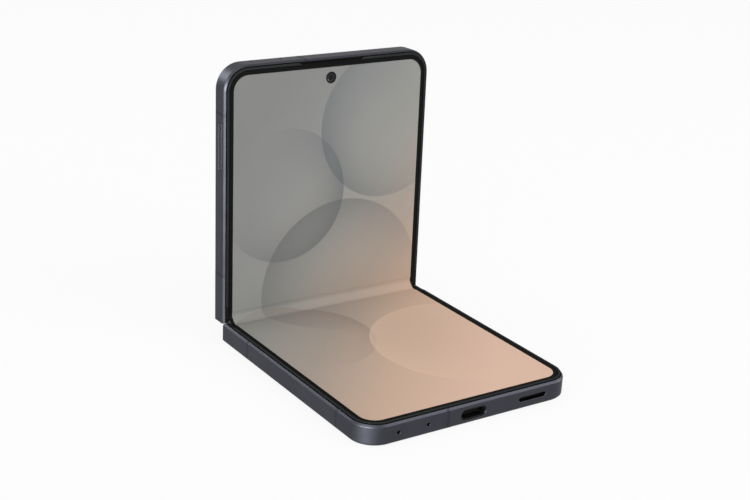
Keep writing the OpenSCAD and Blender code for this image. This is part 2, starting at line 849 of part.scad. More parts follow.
module vibration_motor() {
    start = battery_lower_end + 1;
    outer = 1.5 - battery_half_w;
    color("#9b9da1") at_lower()
        block([outer, outer + motor_w], [start, start + motor_l],
            [battery_top, battery_top + motor_h]);
}

module lower_mid_cover() {
    color("#222326") at_lower() difference() {
        plate(wall_in - 0.3, [mid_cover_start, end_in - 0.3], corner_r - wall_t - 0.3,
            mid_cover_d);
        for (place = cover_posts)
            post(place, screw_bore, [mid_cover_d[0] - over, mid_cover_d[1] + over]);
        for (place = cover_posts)
            post(place, head_r + 0.05, [mid_cover_d[1] - head_h, mid_cover_d[1] + over]);
    }
}

// A screw whose head lies towards the back
module back_screw(place, head_d, length) {
    post(place, screw_r, [head_d - length, head_d + 0.1]);
    post(place, head_r, [head_d, head_d + head_h]);
}

// The screws that hold both hinge leaves down on the deck
module leaf_screw_set() {
    for (station = [-1, 1]) translate([station * station_x, 0, 0]) for (place = leaf_screws) {
        post(place, head_r, [deck_top + bond, deck_top + head_h]);
        post(place, screw_r, [deck_top + head_h - 0.05, step_low]);
    }
}

module lower_screws() {
    color("#7d7f84") at_lower() {
        leaf_screw_set();
        for (place = cover_posts) back_screw(place, mid_cover_d[1] - head_h, 2.5);
        for (place = sub_board_posts) back_screw(place, sub_board_d + board_t, 2);
    }
}

module upper_screws() {
    color("#7d7f84") at_upper() {
        leaf_screw_set();
        for (place = main_board_posts) back_screw(place, board_d + board_t, 2.6);
    }
}

module magnets() {
    for (side = [0, 1]) mirror([side, 0, 0])
        block(magnet_x, magnet_s, [battery_top, battery_top + magnet_h]);
}

module lower_magnets() {
    color("#b5b6ba") at_lower() magnets();
}

module upper_magnets() {
    color("#b5b6ba") at_upper() magnets();
}

// ---------- Inside the upper half ----------

module upper_battery() {
    color("#26272b") at_upper()
        plate(battery_half_w, [battery_s, battery_upper_end], 1.5,
            [battery_top, battery_top + battery_upper_t], 1.5);
}

module main_board() {
    layer = [board_d, board_d + board_t];
    color("#1f5a3a") at_upper() difference() {
        union() {
            block([-board_half_w, board_half_w], [board_start, board_step], layer);
            block([-board_half_w, board_arm_w - board_half_w], [board_step - 0.1, board_end],
                layer);
        }
        for (place = main_board_posts)
            post(place, screw_bore, [board_d - over, board_d + board_t + over]);
    }
}

module board_shields() {
    layer = [board_d - shield_h, board_d];
    side = 1;
    start = carrier_end + 2.1;
    split = start + shield_w;
    color("#a3a5a9") at_upper() {
        block([start, split], [board_start + 4.6, board_step - side], layer);
        block([split + 1.5, board_half_w - 6], [board_start + side, board_step - side], layer);
        block([5.5 - board_half_w, board_arm_w - board_half_w - 4],
            [board_step + 3.5, board_end - 0.7], layer);
    }
}

module rear_cameras() {
    color("#2b2c30") at_upper() for (x = [camera_outer_x, camera_inner_x]) {
        block([x - module_w / 2, x + module_w / 2],
            [camera_s - module_w / 2, camera_s + module_w / 2], [battery_top, glass_d - 1]);
        post([x, camera_s], ring_in_r - 0.2, [glass_d - 1.1, body_t]);
    }
}

module camera_rings() {
    color("#6a6b70") at_upper() for (x = [camera_outer_x, camera_inner_x]) difference() {
        post([x, camera_s], ring_r, [glass_d - 0.95, body_t + ring_out]);
        post([x, camera_s], ring_in_r, [glass_d - 2, body_t + ring_out + over]);
    }
}

module camera_lenses() {
    color("#0b0d14") at_upper() for (x = [camera_outer_x, camera_inner_x])
        post([x, camera_s], ring_in_r - bond, [body_t + bond, body_t + ring_out - 0.25]);
}

module flash_lens() {
    color("#f0ead2") at_upper() {
        post([flash_x, flash_s], flash_r, [glass_d - 0.2, body_t]);
        block([flash_x - flash_r + 0.4, flash_x + flash_r - 0.4],
            [flash_s - flash_r + 0.6, flash_s + flash_r - 0.6], [battery_top, glass_d - 0.2]);
    }
}

module front_camera() {
    color("#101014") at_upper() {
        post([0, punch_s], punch_r - 0.1, [0.1, deck_top + 0.3]);
        block([-eye_half, eye_half], [punch_s - eye_half, punch_s + eye_half],
            [deck_top + 0.2, eye_bottom]);
    }
}

module earpiece_speaker() {
    color("#1c1c1e") at_upper()
        block(earpiece_x, [end_in - 0.2 - earpiece_l, end_in - 0.2],
            [battery_top, battery_top + earpiece_t]);
}

module earpiece_mesh() {
    color("#0e0e10") at_upper()
        block([-earpiece_w / 2 + 0.1, earpiece_w / 2 - 0.1],
            [half_l - lip_u - earpiece_h + bond, half_l - rim_u - bond],
            [deck_top - 0.25, deck_top + 0.1]);
}

// ---------- Tray and keys ----------

module sim_tray() {
    pocket_s = [tray_s - card[0] / 2 - bond, tray_s + card[0] / 2 + bond];
    pocket_x = [carrier_end - 2 - card[1], carrier_end - 1.9];
    color("#54555b") at_upper() difference() {
        union() {
            across([-half_w, carrier_start]) translate([-tray_s, -tray_d]) pill(tray_l, tray_h);
            block([carrier_start - 0.1, carrier_end],
                [tray_s - carrier_w / 2, tray_s + carrier_w / 2],
                [tray_d - carrier_t / 2, tray_d + carrier_t / 2]);
        }
        block(pocket_x, pocket_s, [tray_d - 0.3, tray_d + over + carrier_t]);
        across([-half_w - 1, carrier_start - 0.3])
            translate([-tray_s - tray_l / 2 + tray_h, -tray_d]) circle(0.4);
    }
}

module sim_card() {
    color("#d8c27a") at_upper()
        block([carrier_end - 2 - card[1] + bond, carrier_end - 2],
            [tray_s - card[0] / 2, tray_s + card[0] / 2], [tray_d - 0.3, tray_d - 0.3 + card[2]]);
}

module sim_reader() {
    half_s = carrier_w / 2 + reader_gap;
    half_d = carrier_t / 2 + reader_gap;
    reader_x = [-wall_in + 0.3, carrier_end + 0.5];
    color("#9fa1a5") at_upper() difference() {
        block(reader_x, [tray_s - half_s - reader_t, tray_s + half_s + reader_t],
            [tray_d - half_d - reader_t, board_d]);
        block([reader_x[0] - 1, carrier_end + 0.15], [tray_s - half_s, tray_s + half_s],
            [tray_d - half_d, tray_d + half_d]);
    }
}

module volume_key() {
    nub = volume_l / 2 - 2;
    color("#54555b") at_upper() {
        across([wall_in - 0.4, half_w + key_out]) translate([-volume_s, -key_d])
            pill(volume_l, key_h);
        block([key_in, key_flange_x], [volume_s - 3, volume_s + 3],
            [key_d - key_h / 2 - 0.4, key_d + key_h / 2 + 0.4]);
        for (side = [-1, 1]) across([key_in, wall_in - 0.3])
            translate([-volume_s + side * nub, -key_d]) circle(0.7);
    }
}

module power_key() {
    color("#54555b") at_upper() {
        across([key_in + 0.1, half_w + key_out]) translate([-power_s, -key_d])
            pill(power_l, key_h);
        block([key_in, key_flange_x], [power_s - 5, power_s + 5],
            [key_d - key_h / 2 - 0.4, key_d + key_h / 2 + 0.4]);
    }
}

module key_switches() {
    nub = volume_l / 2 - 2;
    color("#8d6b2f") at_upper() {
        for (key = [[power_s, power_l / 2 + 1], [volume_s, volume_l / 2 + 1]])
            block([switch_x - 0.9, switch_x - 0.4], [key[0] - key[1], key[0] + key[1]],
                [key_d - 1.2, board_d]);
        for (s = [power_s, volume_s - nub, volume_s + nub])
            across([switch_x - 0.45, switch_x]) translate([-s, -key_d]) circle(0.8);
        block([switch_x - 0.45, key_in - 0.02], [volume_s - 0.3, volume_s + 0.3],
            [key_d - 0.8, key_d + 0.8]);
    }
}

// ---------- Hinge ----------

function polar(r, angle) = [r * cos(angle), r * sin(angle)];

// Straight-flanked teeth with a little backlash
module gear_outline(teeth, phase) {
    r = gear_m * teeth / 2;
    arc = 180 * gear_m / 2;
    root = r - 1.25 * gear_m;
    tip = r + 0.85 * gear_m;
    polygon([for (k = [0:teeth - 1]) for (p = [
        [root, -0.58], [r, -0.42], [tip, -0.18], [tip, 0.18], [r, 0.42], [root, 0.58]
    ]) polar(p[0], phase + k * 360 / teeth + p[1] * arc / p[0])]);
}

// Side view of the hinge cover's outline at a given radius about the two axes
module cover_outline(r) {
    for (side = [-1, 1]) translate([side * axis_in, -axis_deep]) circle(r);
    translate([-axis_in, -axis_deep - r]) square([2 * axis_in, r]);
}

// One leaf per station, with its arm, knuckle and gear
module hinge_leaf(phase) {
    bore = pin_r + pin_gap;
    for (station = [-1, 1]) translate([station * station_x, 0, 0]) difference() {
        union() {
            block([-leaf_w / 2, leaf_w / 2], [leaf_s, leaf_end], [deck_low - leaf_t, deck_low]);
            block(arm_x, [axis_in, leaf_s + 0.6], [arm_d, arm_d + arm_t]);
            across(knuckle_x) translate([-axis_in, -axis_deep]) circle(knuckle_r);
            across(gear_x) translate([-axis_in, -axis_deep]) gear_outline(leaf_teeth, phase);
        }
        across([gear_x[0] - 1, knuckle_x[1] + 1]) translate([-axis_in, -axis_deep]) circle(bore);
        for (place = leaf_screws) {
            post(place, screw_bore, [0, deck_low + over]);
            post(place, head_r + 0.05, [0, deck_top + head_h]);
        }
    }
}

module hinge_leaf_lower() {
    color("#a6a8ac") at_lower() hinge_leaf(phase_leaf_low);
}

module hinge_leaf_upper() {
    color("#a6a8ac") at_upper() hinge_leaf(180 - phase_leaf_up);
}

module hinge_cover() {
    floor_z = -axis_deep - cover_in_r;
    color("#3a3b40") at_spine() difference() {
        across([-cover_half_l, cover_half_l]) difference() {
            cover_outline(cover_r);
            cover_outline(cover_in_r);
            translate([-past_cover, -cover_edge_d]) square(2 * past_cover);
        }
        for (place = hinge_screw_places()) translate([place, 0, floor_z - 0.35])
            cylinder(r = screw_bore - 0.1, h = 1);
    }
}

// Where the hinge blocks are screwed down, across the phone
function hinge_screw_places() = [for (station = [-1, 1]) for (x = [-1, 1])
    station * station_x + x * (cheek_x[3] + foot_l / 2)];

module hinge_end_caps() {
    color("#2c2d31") at_spine() for (side = [0, 1]) mirror([side, 0, 0])
        across([cover_half_l - 1.2, cover_half_l]) intersection() {
            cover_outline(cover_in_r - 0.02);
            translate([-past_cover, -2 * past_cover])
                square([2 * past_cover, 2 * past_cover - deck_top]);
        }
}

module hinge_blocks() {
    foot_z = -axis_deep - cover_in_r + 0.02;
    top_z = -panel_t - 0.12;
    cheek_w = 4.8;
    foot_w = 3;
    color("#7f8186") at_spine() for (station = [-1, 1])
        translate([station * station_x, 0, 0]) difference() {
            for (side = [0, 1]) mirror([side, 0, 0]) {
                across([cheek_x[2], cheek_x[3]]) intersection() {
                    cover_outline(cover_in_r - 0.03);
                    translate([-cheek_w / 2, -past_cover]) square([cheek_w, past_cover + top_z]);
                }
                translate([cheek_x[3] - 0.1, -foot_w / 2, foot_z])
                    cube([foot_l + 0.1, foot_w, foot_t]);
            }
            for (side = [-1, 1]) {
                across([-5, 5]) translate([side * axis_in, -axis_deep]) circle(pin_r + 0.01);
                across([-5, 5]) translate([side * idler_in, -idler_deep])
                    circle(idler_pin_r + 0.01);
                translate([side * (cheek_x[3] + foot_l / 2), 0, foot_z - over])
                    cylinder(r = screw_bore - 0.1, h = 2);
            }
        }
}

module hinge_pins() {
    color("#c4c6ca") at_spine() for (station = [-1, 1]) translate([station * station_x, 0, 0])
        for (side = [-1, 1]) {
            across([cheek_x[0] - 0.2, pin_end]) translate([side * axis_in, -axis_deep])
                circle(pin_r);
            across([pin_end - 0.5, pin_end]) translate([side * axis_in, -axis_deep])
                circle(pin_r + 0.35);
        }
}

module idler_pins() {
    color("#c4c6ca") at_spine() for (station = [-1, 1]) translate([station * station_x, 0, 0])
        for (side = [-1, 1]) across([cheek_x[0], cheek_x[3]])
            translate([side * idler_in, -idler_deep]) circle(idler_pin_r);
}

module idler_gears(side, phase) {
    for (station = [-1, 1]) translate([station * station_x, 0, 0])
        across(idler_x) translate([side * idler_in, -idler_deep]) difference() {
            gear_outline(idler_teeth, phase);
            circle(idler_pin_r + pin_gap);
        }
}

module idler_gears_lower() {
    color("#d0a860") at_spine() idler_gears(-1, phase_idler_low + idler_turn);
}

module idler_gears_upper() {
    color("#d0a860") at_spine() idler_gears(1, phase_idler_up - idler_turn);
}

module friction_discs() {
    pitch = (pin_end - 0.6 - cheek_x[3]) / disc_count;
    color("#8f9196") at_spine() for (station = [-1, 1]) translate([station * station_x, 0, 0])
        for (side = [-1, 1]) for (k = [0:disc_count - 1])
            across([cheek_x[3] + 0.1 + k * pitch, cheek_x[3] + 0.1 + k * pitch + disc_t])
                translate([side * axis_in, -axis_deep]) difference() {
                    circle(knuckle_r);
                    circle(pin_r + 0.01);
                }
}

module hinge_screws() {
    top_z = -axis_deep - cover_in_r + 0.02 + foot_t;
    color("#7d7f84") at_spine() for (place = hinge_screw_places()) {
        translate([place, 0, top_z - 0.8]) cylinder(r = screw_r - 0.1, h = 0.9);
        translate([place, 0, top_z]) cylinder(r = head_r - 0.1, h = head_h);
    }
}

// ---------- Ribbon cables through the hinge ----------

// A point of the lower half, given as along and depth, seen from the turned hinge cover
function seen_from_cover(s, d) =
    let(y = axis_in - s, z = axis_deep - d)
    [-axis_in + y * cos(fold_a) + z * sin(fold_a), -axis_deep - y * sin(fold_a) + z * cos(fold_a)];

flex_line = let(
    end = seen_from_cover(flex_end_s, flex_d),
    start = seen_from_cover(cavity_end - 0.4, flex_d),
    bend = seen_from_cover(cavity_end - 3.6, flex_d),
    low = [0, flex_low_z],
    before = [-2.2, flex_low_z]
) concat([end], [for (k = [0:10]) let(t = k / 10, u = 1 - t)
    u * u * u * start + 3 * u * u * t * bend + 3 * u * t * t * before + t * t * t * low]);

function flex_side(k, side) =
    let(
        last = len(flex_line) - 1,
        along_line = flex_line[min(k + 1, last)] - flex_line[max(k - 1, 0)],
        ahead = k == last ? [1, 0] : along_line / norm(along_line)
    )
    flex_line[k] + side * flex_t / 2 * [-ahead[1], ahead[0]];

module hinge_flex_cables() {
    last = len(flex_line) - 1;
    lower = [for (k = [0:last]) flex_side(k, 1)];
    back = [for (k = [last:-1:0]) flex_side(k, -1)];
    color("#b5651d") at_spine() for (side = [0, 1]) mirror([side, 0, 0])
        across(flex_x) for (turn = [0, 1]) mirror([turn, 0]) polygon(concat(lower, back));
}

lower_frame();
lower_antenna_breaks();
lower_back_glass();
lower_bezel();
display_lower();
lower_display_plate();
lower_battery();
sub_board();
usb_c_port();
loudspeaker();
speaker_mesh();
bottom_microphones();
vibration_motor();
charging_coil();
lower_mid_cover();
lower_screws();
lower_magnets();
hinge_leaf_lower();
lower_fold_caps();
upper_frame();
upper_antenna_breaks();
cover_glass();
cover_display();
upper_bezel();
display_upper();
upper_display_plate();
upper_battery();
main_board();
board_shields();
camera_rings();
camera_lenses();
rear_cameras();
flash_lens();
front_camera();
earpiece_speaker();
earpiece_mesh();
top_microphones();
sim_tray();
sim_card();
sim_reader();
volume_key();
power_key();
key_switches();
upper_screws();
upper_magnets();
hinge_leaf_upper();
upper_fold_caps();
hinge_cover();
hinge_end_caps();
hinge_blocks();
hinge_pins();
idler_gears_lower();
idler_gears_upper();
idler_pins();
friction_discs();
display_fold();
hinge_flex_cables();
hinge_screws();
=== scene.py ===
"""Looks of a foldable clamshell smartphone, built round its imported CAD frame.

Metres, in the row frame: the lower half lies on the floor, +X is the phone's right, +Y runs to
the fold and +Z is up. A place inside a half is given as across (x), along (s, from the fold line
towards the far end) and depth (d, below the screen's surface), as in the CAD source. An inset is
a distance inside a half's outer face.
"""

import json
import math

import bmesh
import bpy
from mathutils import Matrix, Vector


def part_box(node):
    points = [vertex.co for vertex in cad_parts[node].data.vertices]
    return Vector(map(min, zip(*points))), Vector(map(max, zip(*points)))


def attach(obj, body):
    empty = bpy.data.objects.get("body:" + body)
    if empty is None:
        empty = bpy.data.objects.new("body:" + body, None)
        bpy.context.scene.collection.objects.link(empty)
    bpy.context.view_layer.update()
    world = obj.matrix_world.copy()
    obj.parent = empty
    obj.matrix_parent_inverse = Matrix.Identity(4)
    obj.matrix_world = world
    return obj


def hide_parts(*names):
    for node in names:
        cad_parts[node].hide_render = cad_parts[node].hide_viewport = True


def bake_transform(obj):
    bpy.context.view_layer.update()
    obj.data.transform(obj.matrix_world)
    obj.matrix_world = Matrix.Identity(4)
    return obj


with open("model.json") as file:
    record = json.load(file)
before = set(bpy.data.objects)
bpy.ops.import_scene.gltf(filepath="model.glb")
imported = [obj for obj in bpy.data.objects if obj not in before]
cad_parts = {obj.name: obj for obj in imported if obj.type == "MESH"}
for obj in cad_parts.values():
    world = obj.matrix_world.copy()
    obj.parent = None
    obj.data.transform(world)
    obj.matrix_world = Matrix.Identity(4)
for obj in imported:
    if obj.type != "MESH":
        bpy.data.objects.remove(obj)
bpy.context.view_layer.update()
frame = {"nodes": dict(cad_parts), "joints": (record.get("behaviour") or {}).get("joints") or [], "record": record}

MM = 0.001
# Points nearer than these are one point: after a cut, and in a CAD mesh
WELD_CUT, WELD_CAD = 0.001 * MM, 0.002 * MM
NODES = frame["nodes"]
JOINTS = {j["name"]: j for j in frame["joints"]}
BODY_OF = {n: b for b, names in frame["record"]["behaviour"]["bodies"].items() for n in names}
SLOT_OF = {p["node"]: p["material_slot"] for p in frame["record"]["subparts"]}

# ---------- Places taken from the frame ----------

LOWER_AXIS = Vector(JOINTS["fold_lower"]["pos_m"])
UPPER_AXIS = Vector(JOINTS["fold_upper"]["pos_m"])
FOLD_ANGLE = -math.radians(JOINTS["fold_lower"]["range_deg"][0])
HALF_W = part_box("lower_frame")[1].x
FOLD_Y = -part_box("lower_frame")[0].y
SCREEN_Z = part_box("display_lower")[1].z
HALF_L = 2 * FOLD_Y
BODY_T = SCREEN_Z
PANEL_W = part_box("display_lower")[1].x
PANEL_L = FOLD_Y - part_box("display_lower")[0].y
BEND_S = FOLD_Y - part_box("display_lower")[1].y
PANEL_INSET = HALF_L - PANEL_L
# The outer corner radius, as in the CAD source
CORNER_R = 8 * MM
CORNER_S = HALF_L - CORNER_R
CORNER_X = HALF_W - CORNER_R

# (x, s, d) of the lower half to the row frame; the upper half is its mirror image in the hinge
LOWER = Matrix.Translation((0, FOLD_Y, SCREEN_Z)) @ Matrix.Diagonal((1, -1, -1, 1))
LOWER_INVERSE = LOWER.inverted()
hinge_way = (UPPER_AXIS - LOWER_AXIS).normalized()
hinge_middle = (LOWER_AXIS + UPPER_AXIS) / 2


def reflect(p):
    return p - 2 * (p - hinge_middle).dot(hinge_way) * hinge_way


def at(side, x, s, d):
    p = LOWER @ Vector((x, s, d))
    return reflect(p) if side == "upper" else p


def in_half(side, p):
    """The (x, s, d) of a point of the row frame: the inverse of at()."""
    return LOWER_INVERSE @ (reflect(p) if side == "upper" else p)


def half_box(side, node):
    """Lowest and highest (x, s, d) of a CAD node."""
    places = [in_half(side, v.co) for v in NODES[node].data.vertices]
    return [Vector([pick(p[k] for p in places) for k in range(3)]) for pick in (min, max)]


def inset(p):
    """How far an (x, s, d) lies inside the half's outer face, seen from above."""
    x = abs(p.x)
    if x > CORNER_X and p.y > CORNER_S:
        return CORNER_R - math.hypot(x - CORNER_X, p.y - CORNER_S)
    return min(HALF_W - x, HALF_L - p.y)


def smoothstep(t):
    t = min(1.0, max(0.0, t))
    return t * t * (3 - 2 * t)


# ---------- Materials ----------


class Tree:
    """A material's node tree, with short calls that add and join nodes."""

    def __init__(self, name):
        self.material = bpy.data.materials.new(name)
        self.material.use_nodes = True
        self.tree = self.material.node_tree
        self.shader = self.tree.nodes["Principled BSDF"]
        self.coords = self.tree.nodes.new("ShaderNodeTexCoord").outputs["Object"]

    def add(self, kind, inputs=(), **settings):
        node = self.tree.nodes.new("ShaderNode" + kind)
        for key, value in settings.items():
            setattr(node, key, value)
        for key, value in dict(inputs).items():
            if isinstance(value, bpy.types.NodeSocket):
                self.tree.links.new(value, node.inputs[key])
            else:
                node.inputs[key].default_value = value
        return node

    def set(self, key, value):
        if isinstance(value, bpy.types.NodeSocket):
            self.tree.links.new(value, self.shader.inputs[key])
        else:
            self.shader.inputs[key].default_value = value

    def math(self, operation, *values, clamp=False):
        node = self.add("Math", enumerate(values), operation=operation, use_clamp=clamp)
        return node.outputs[0]

    def place_from_uv(self, name):
        """Takes the places of the patterns, in metres, from a UV map whose square is MAP_SIDE."""
        uv = self.add("UVMap", uv_map=name).outputs[0]
        centred = self.add("VectorMath", {0: uv, 1: (0.5, 0.5, 0)}, operation="SUBTRACT")
        scaled = self.add("VectorMath", {0: centred.outputs[0]}, operation="SCALE")
        scaled.inputs["Scale"].default_value = MAP_SIDE
        self.coords = scaled.outputs[0]

    def noise(self, size, detail=2.0, stretch=None):
        """Noise whose features are about `size` metres, stretched along the given axes."""
        vector = self.coords
        if stretch:
            vector = self.add("Mapping", {"Vector": vector, "Scale": stretch}).outputs[0]
        inputs = {"Vector": vector, "Scale": 1 / size, "Detail": detail}
        return self.add("TexNoise", inputs).outputs["Fac"]

    def remap(self, value, low, high, start=0.3, stop=0.7):
        inputs = {0: value, 1: start, 2: stop, 3: low, 4: high}
        return self.add("MapRange", inputs).outputs[0]

    def mix(self, fac, a, b, kind="MIX"):
        node = self.add("Mix", data_type="RGBA", blend_type=kind)
        for socket, value in ((0, fac), (6, a), (7, b)):
            if isinstance(value, bpy.types.NodeSocket):
                self.tree.links.new(value, node.inputs[socket])
            elif socket:
                node.inputs[socket].default_value = (*value, 1)
            else:
                node.inputs[socket].default_value = value
        return node.outputs[2]

    def bump(self, height, depth, strength=1.0, normal=None):
        inputs = {"Height": height, "Distance": depth, "Strength": strength}
        if normal is not None:
            inputs["Normal"] = normal
        return self.add("Bump", inputs).outputs[0]


def srgb(*rgb):
    """An 8-bit screen colour as linear light."""
    values = [c / 255 for c in rgb]
    return tuple(c / 12.92 if c <= 0.04045 else ((c + 0.055) / 1.055) ** 2.4 for c in values)


def shade(colour, factor):
    return tuple(min(1.0, c * factor) for c in colour)


# The screen's UV map covers this square, with the fold line across its middle
MAP_SIDE = 0.2

# Shares of a finish's own colour: in its fine grain, and on its worn edges
GRAIN_SHADE, WORN_SHADE = 0.55, 1.6
# Share of the worn colour, which fades out as the rounded and the flat normal agree
WORN_SHARE, WORN_AGREE = 0.3, (0.86, 0.99)
GLOSS_SPREAD, GLOSS_GRAIN = 0.1, 0.03
GRAIN_STRENGTH = 0.6
COAT_ROUGHNESS = 0.04


def surface(
    name,
    colour,
    roughness,
    metallic=0.0,
    variation=0.08,
    patch=9 * MM,
    grain=0.12 * MM,
    grain_depth=0.004 * MM,
    stretch=None,
    edge=0.0,
    coat=0.0,
    specular=0.5,
    grazing=1.0,
    uv_map=None,
):
    """A finish with slow colour patches, a fine grain in its relief and uneven gloss.
    With edge, corners are rounded by that radius in the shading and worn a little lighter.
    A metal reflects at grazing angles by the share grazing."""
    t = Tree(name)
    if uv_map:
        t.place_from_uv(uv_map)
    patches = t.noise(patch, 3.0, stretch=stretch)
    fine = t.noise(grain, 2.0, stretch=stretch)
    low, high = shade(colour, 1 - variation), shade(colour, 1 + variation)
    tint = t.mix(t.remap(patches, 0, 1), low, high)
    tint = t.mix(t.remap(fine, 0, variation), tint, shade(colour, GRAIN_SHADE))
    normal = None
    if edge:
        rounded = t.add("Bevel", {"Radius": edge}, samples=4).outputs[0]
        flat = t.add("NewGeometry").outputs["Normal"]
        agree = t.add("VectorMath", {0: rounded, 1: flat}, operation="DOT_PRODUCT")
        worn = t.remap(agree.outputs["Value"], WORN_SHARE, 0.0, *WORN_AGREE)
        tint = t.mix(worn, tint, shade(colour, WORN_SHADE))
        normal = rounded
    t.set("Base Color", tint)
    spread = t.remap(patches, roughness * (1 - GLOSS_SPREAD), roughness * (1 + GLOSS_SPREAD))
    t.set("Roughness", t.math("ADD", spread, t.remap(fine, -GLOSS_GRAIN, GLOSS_GRAIN)))
    t.set("Metallic", metallic)
    t.set("Specular IOR Level", specular)
    t.set("Specular Tint", (grazing, grazing, grazing, 1))
    if coat:
        t.set("Coat Weight", coat)
        t.set("Coat Roughness", COAT_ROUGHNESS)
    t.set("Normal", t.bump(fine, grain_depth, GRAIN_STRENGTH, normal))
    return t.material


frame_metal = surface(
    "frame_metal", srgb(58, 59, 65), 0.42, metallic=1.0, variation=0.04, grain=0.08 * MM,
    grain_depth=0.003 * MM, edge=0.12 * MM, grazing=0.68
)
break_plastic = surface(
    "break_plastic", srgb(50, 51, 57), 0.48, metallic=0.9, variation=0.04, grain=0.15 * MM,
    edge=0.08 * MM, specular=0.1, grazing=0.6
)
hinge_metal = surface(
    "hinge_metal", srgb(52, 53, 59), 0.32, metallic=1.0, variation=0.05, edge=0.12 * MM,
    grazing=0.7
)
bezel_plastic = surface(
    "bezel_plastic", srgb(47, 49, 49), 0.6, variation=0.06, grain=0.1 * MM, specular=0.0,
    coat=0.03
)
cap_rubber = surface(
    "cap_rubber", srgb(27, 27, 26), 0.7, variation=0.15, grain=0.2 * MM, specular=0.03
)
# Black: the border's and the tongue's own black, and painted shade on the lip's outer wall, along the earpiece
# slot and on the socket shell's inner walls
black_trim_and_painted_shade = surface(
    "black_trim_and_painted_shade", srgb(24, 25, 24), 0.5, variation=0.08, specular=0.0, coat=0.03
)
# Painted shade: a black finish laid on the frames' groove beside the lip and on the walls of their openings
painted_groove_shade = surface("painted_groove_shade", srgb(16, 16, 18), 0.8, variation=0.1, specular=0.0)
back_satin = surface(
    "back_satin", srgb(62, 63, 69), 0.34, variation=0.04, grain=0.06 * MM, coat=0.2
)
cover_gloss = surface(
    "cover_gloss", srgb(17, 17, 19), 0.08, variation=0.06, patch=25 * MM,
    grain_depth=0.0004 * MM, specular=0.1, coat=0.5
)
ring_metal = surface(
    "ring_metal", srgb(92, 93, 100), 0.24, metallic=1.0, variation=0.04, grain=0.06 * MM
)
lens_black = surface(
    "lens_black", srgb(12, 12, 14), 0.12, variation=0.05, grain_depth=0.0004 * MM, coat=0.6
)
lens_well = surface("lens_well", srgb(20, 20, 22), 0.5, variation=0.1, specular=0.2)
eye_black = surface(
    "eye_black", srgb(15, 15, 17), 0.2, variation=0.06, grain_depth=0.0004 * MM, specular=0.1,
    coat=0.12
)
lens_glass = surface(
    "lens_glass", srgb(16, 20, 44), 0.04, variation=0.25, patch=1.2 * MM,
    grain_depth=0.0002 * MM, coat=1.0
)
flash_plastic = surface(
    "flash_plastic", srgb(236, 226, 196), 0.22, variation=0.05, patch=0.8 * MM, coat=0.5
)
port_metal = surface(
    "port_metal", srgb(40, 40, 43), 0.34, metallic=1.0, variation=0.05, stretch=(1, 1, 8),
    grazing=0.6
)
contact_gold = surface("contact_gold", srgb(196, 158, 86), 0.3, metallic=1.0)
black_plastic = surface("black_plastic", srgb(26, 26, 28), 0.45, variation=0.12)
bare_steel = surface(
    "bare_steel", srgb(168, 169, 172), 0.32, metallic=1.0, stretch=(1, 14, 14), edge=0.08 * MM
)
gear_brass = surface("gear_brass", srgb(196, 160, 92), 0.3, metallic=1.0)
coil_copper = surface("coil_copper", srgb(176, 104, 62), 0.38, metallic=1.0)
battery_foil = surface(
    "battery_foil", srgb(54, 55, 60), 0.38, metallic=0.6, grain=0.5 * MM, grain_depth=0.03 * MM
)
board_mask = surface("board_mask", srgb(24, 74, 48), 0.34, variation=0.18, patch=2.5 * MM)
film = surface("polyimide_film", srgb(150, 92, 36), 0.3, variation=0.15, patch=1.6 * MM)
acoustic_mesh = surface(
    "acoustic_mesh", srgb(20, 20, 21), 0.7, variation=0.2, grain=0.1 * MM, specular=0.05
)
card_plastic = surface("card_plastic", srgb(214, 206, 188), 0.3, variation=0.03)

FINISH = {
    "frame_metal": frame_metal,
    "break_plastic": break_plastic,
    "hinge_metal": hinge_metal,
    "bezel_plastic": bezel_plastic,
    "cap_rubber": cap_rubber,
    "back_glass": back_satin,
    "cover_glass": cover_gloss,
    "screen": cover_gloss,
    "dark_panel": cover_gloss,
    "steel": bare_steel,
    "brass": gear_brass,
    "battery_foil": battery_foil,
    "board_green": board_mask,
    "black_plastic": black_plastic,
    "lens_glass": cover_gloss,
    "flash_window": flash_plastic,
    "card_plastic": card_plastic,
    "flex_film": film,
}


def dress(obj, *materials):
    """Gives obj its materials. Clearing the old ones sets every face's index to 0, so the
    indices are put back."""
    faces = obj.data.polygons
    index = [0] * len(faces)
    faces.foreach_get("material_index", index)
    obj.data.materials.clear()
    for material in materials:
        obj.data.materials.append(material)
    faces.foreach_set("material_index", [min(k, len(materials) - 1) for k in index])


for node_name, node in NODES.items():
    dress(node, FINISH[SLOT_OF[node_name]])
dress(NODES["charging_coil"], coil_copper)
for node_name in ("bottom_microphones", "top_microphones", "speaker_mesh", "earpiece_mesh"):
    dress(NODES[node_name], acoustic_mesh)

# ---------- The screen's picture ----------

BORDER_W = 1.11 * MM

# Ground colours along a slanted line across both halves: (millimetres, colour)
GROUND_SLANT = -1.15
GROUND = (
    (-90, (226, 192, 171)), (-45, (206, 177, 156)), (-10, (172, 159, 148)),
    (25, (152, 152, 147)), (60, (141, 142, 141)), (95, (133, 134, 132)),
)
# Discs: (centre, radius, direction of the strong rim, colour, strength), in millimetres.
# A disc's edge fades over twice DISC_EDGE; its rim and its strong side start at these shares of
# its radius.
DISC_EDGE, RIM_FROM, RIM_POWER, LEAN_FROM = 0.12, 0.2, 1.5, -0.7
DISCS = (
    ((22, 60), 25, (-0.9, -0.45), (96, 102, 108), 0.55),
    ((-16, 40), 22, (0.85, -0.5), (88, 94, 100), 0.62),
    ((6, 6), 30, (-0.5, 0.85), (96, 98, 100), 0.55),
    ((-22, -22), 24, (0.75, 0.65), (132, 116, 106), 0.45),
    ((24, -46), 30, (-0.8, 0.6), (232, 200, 176), 0.5),
)


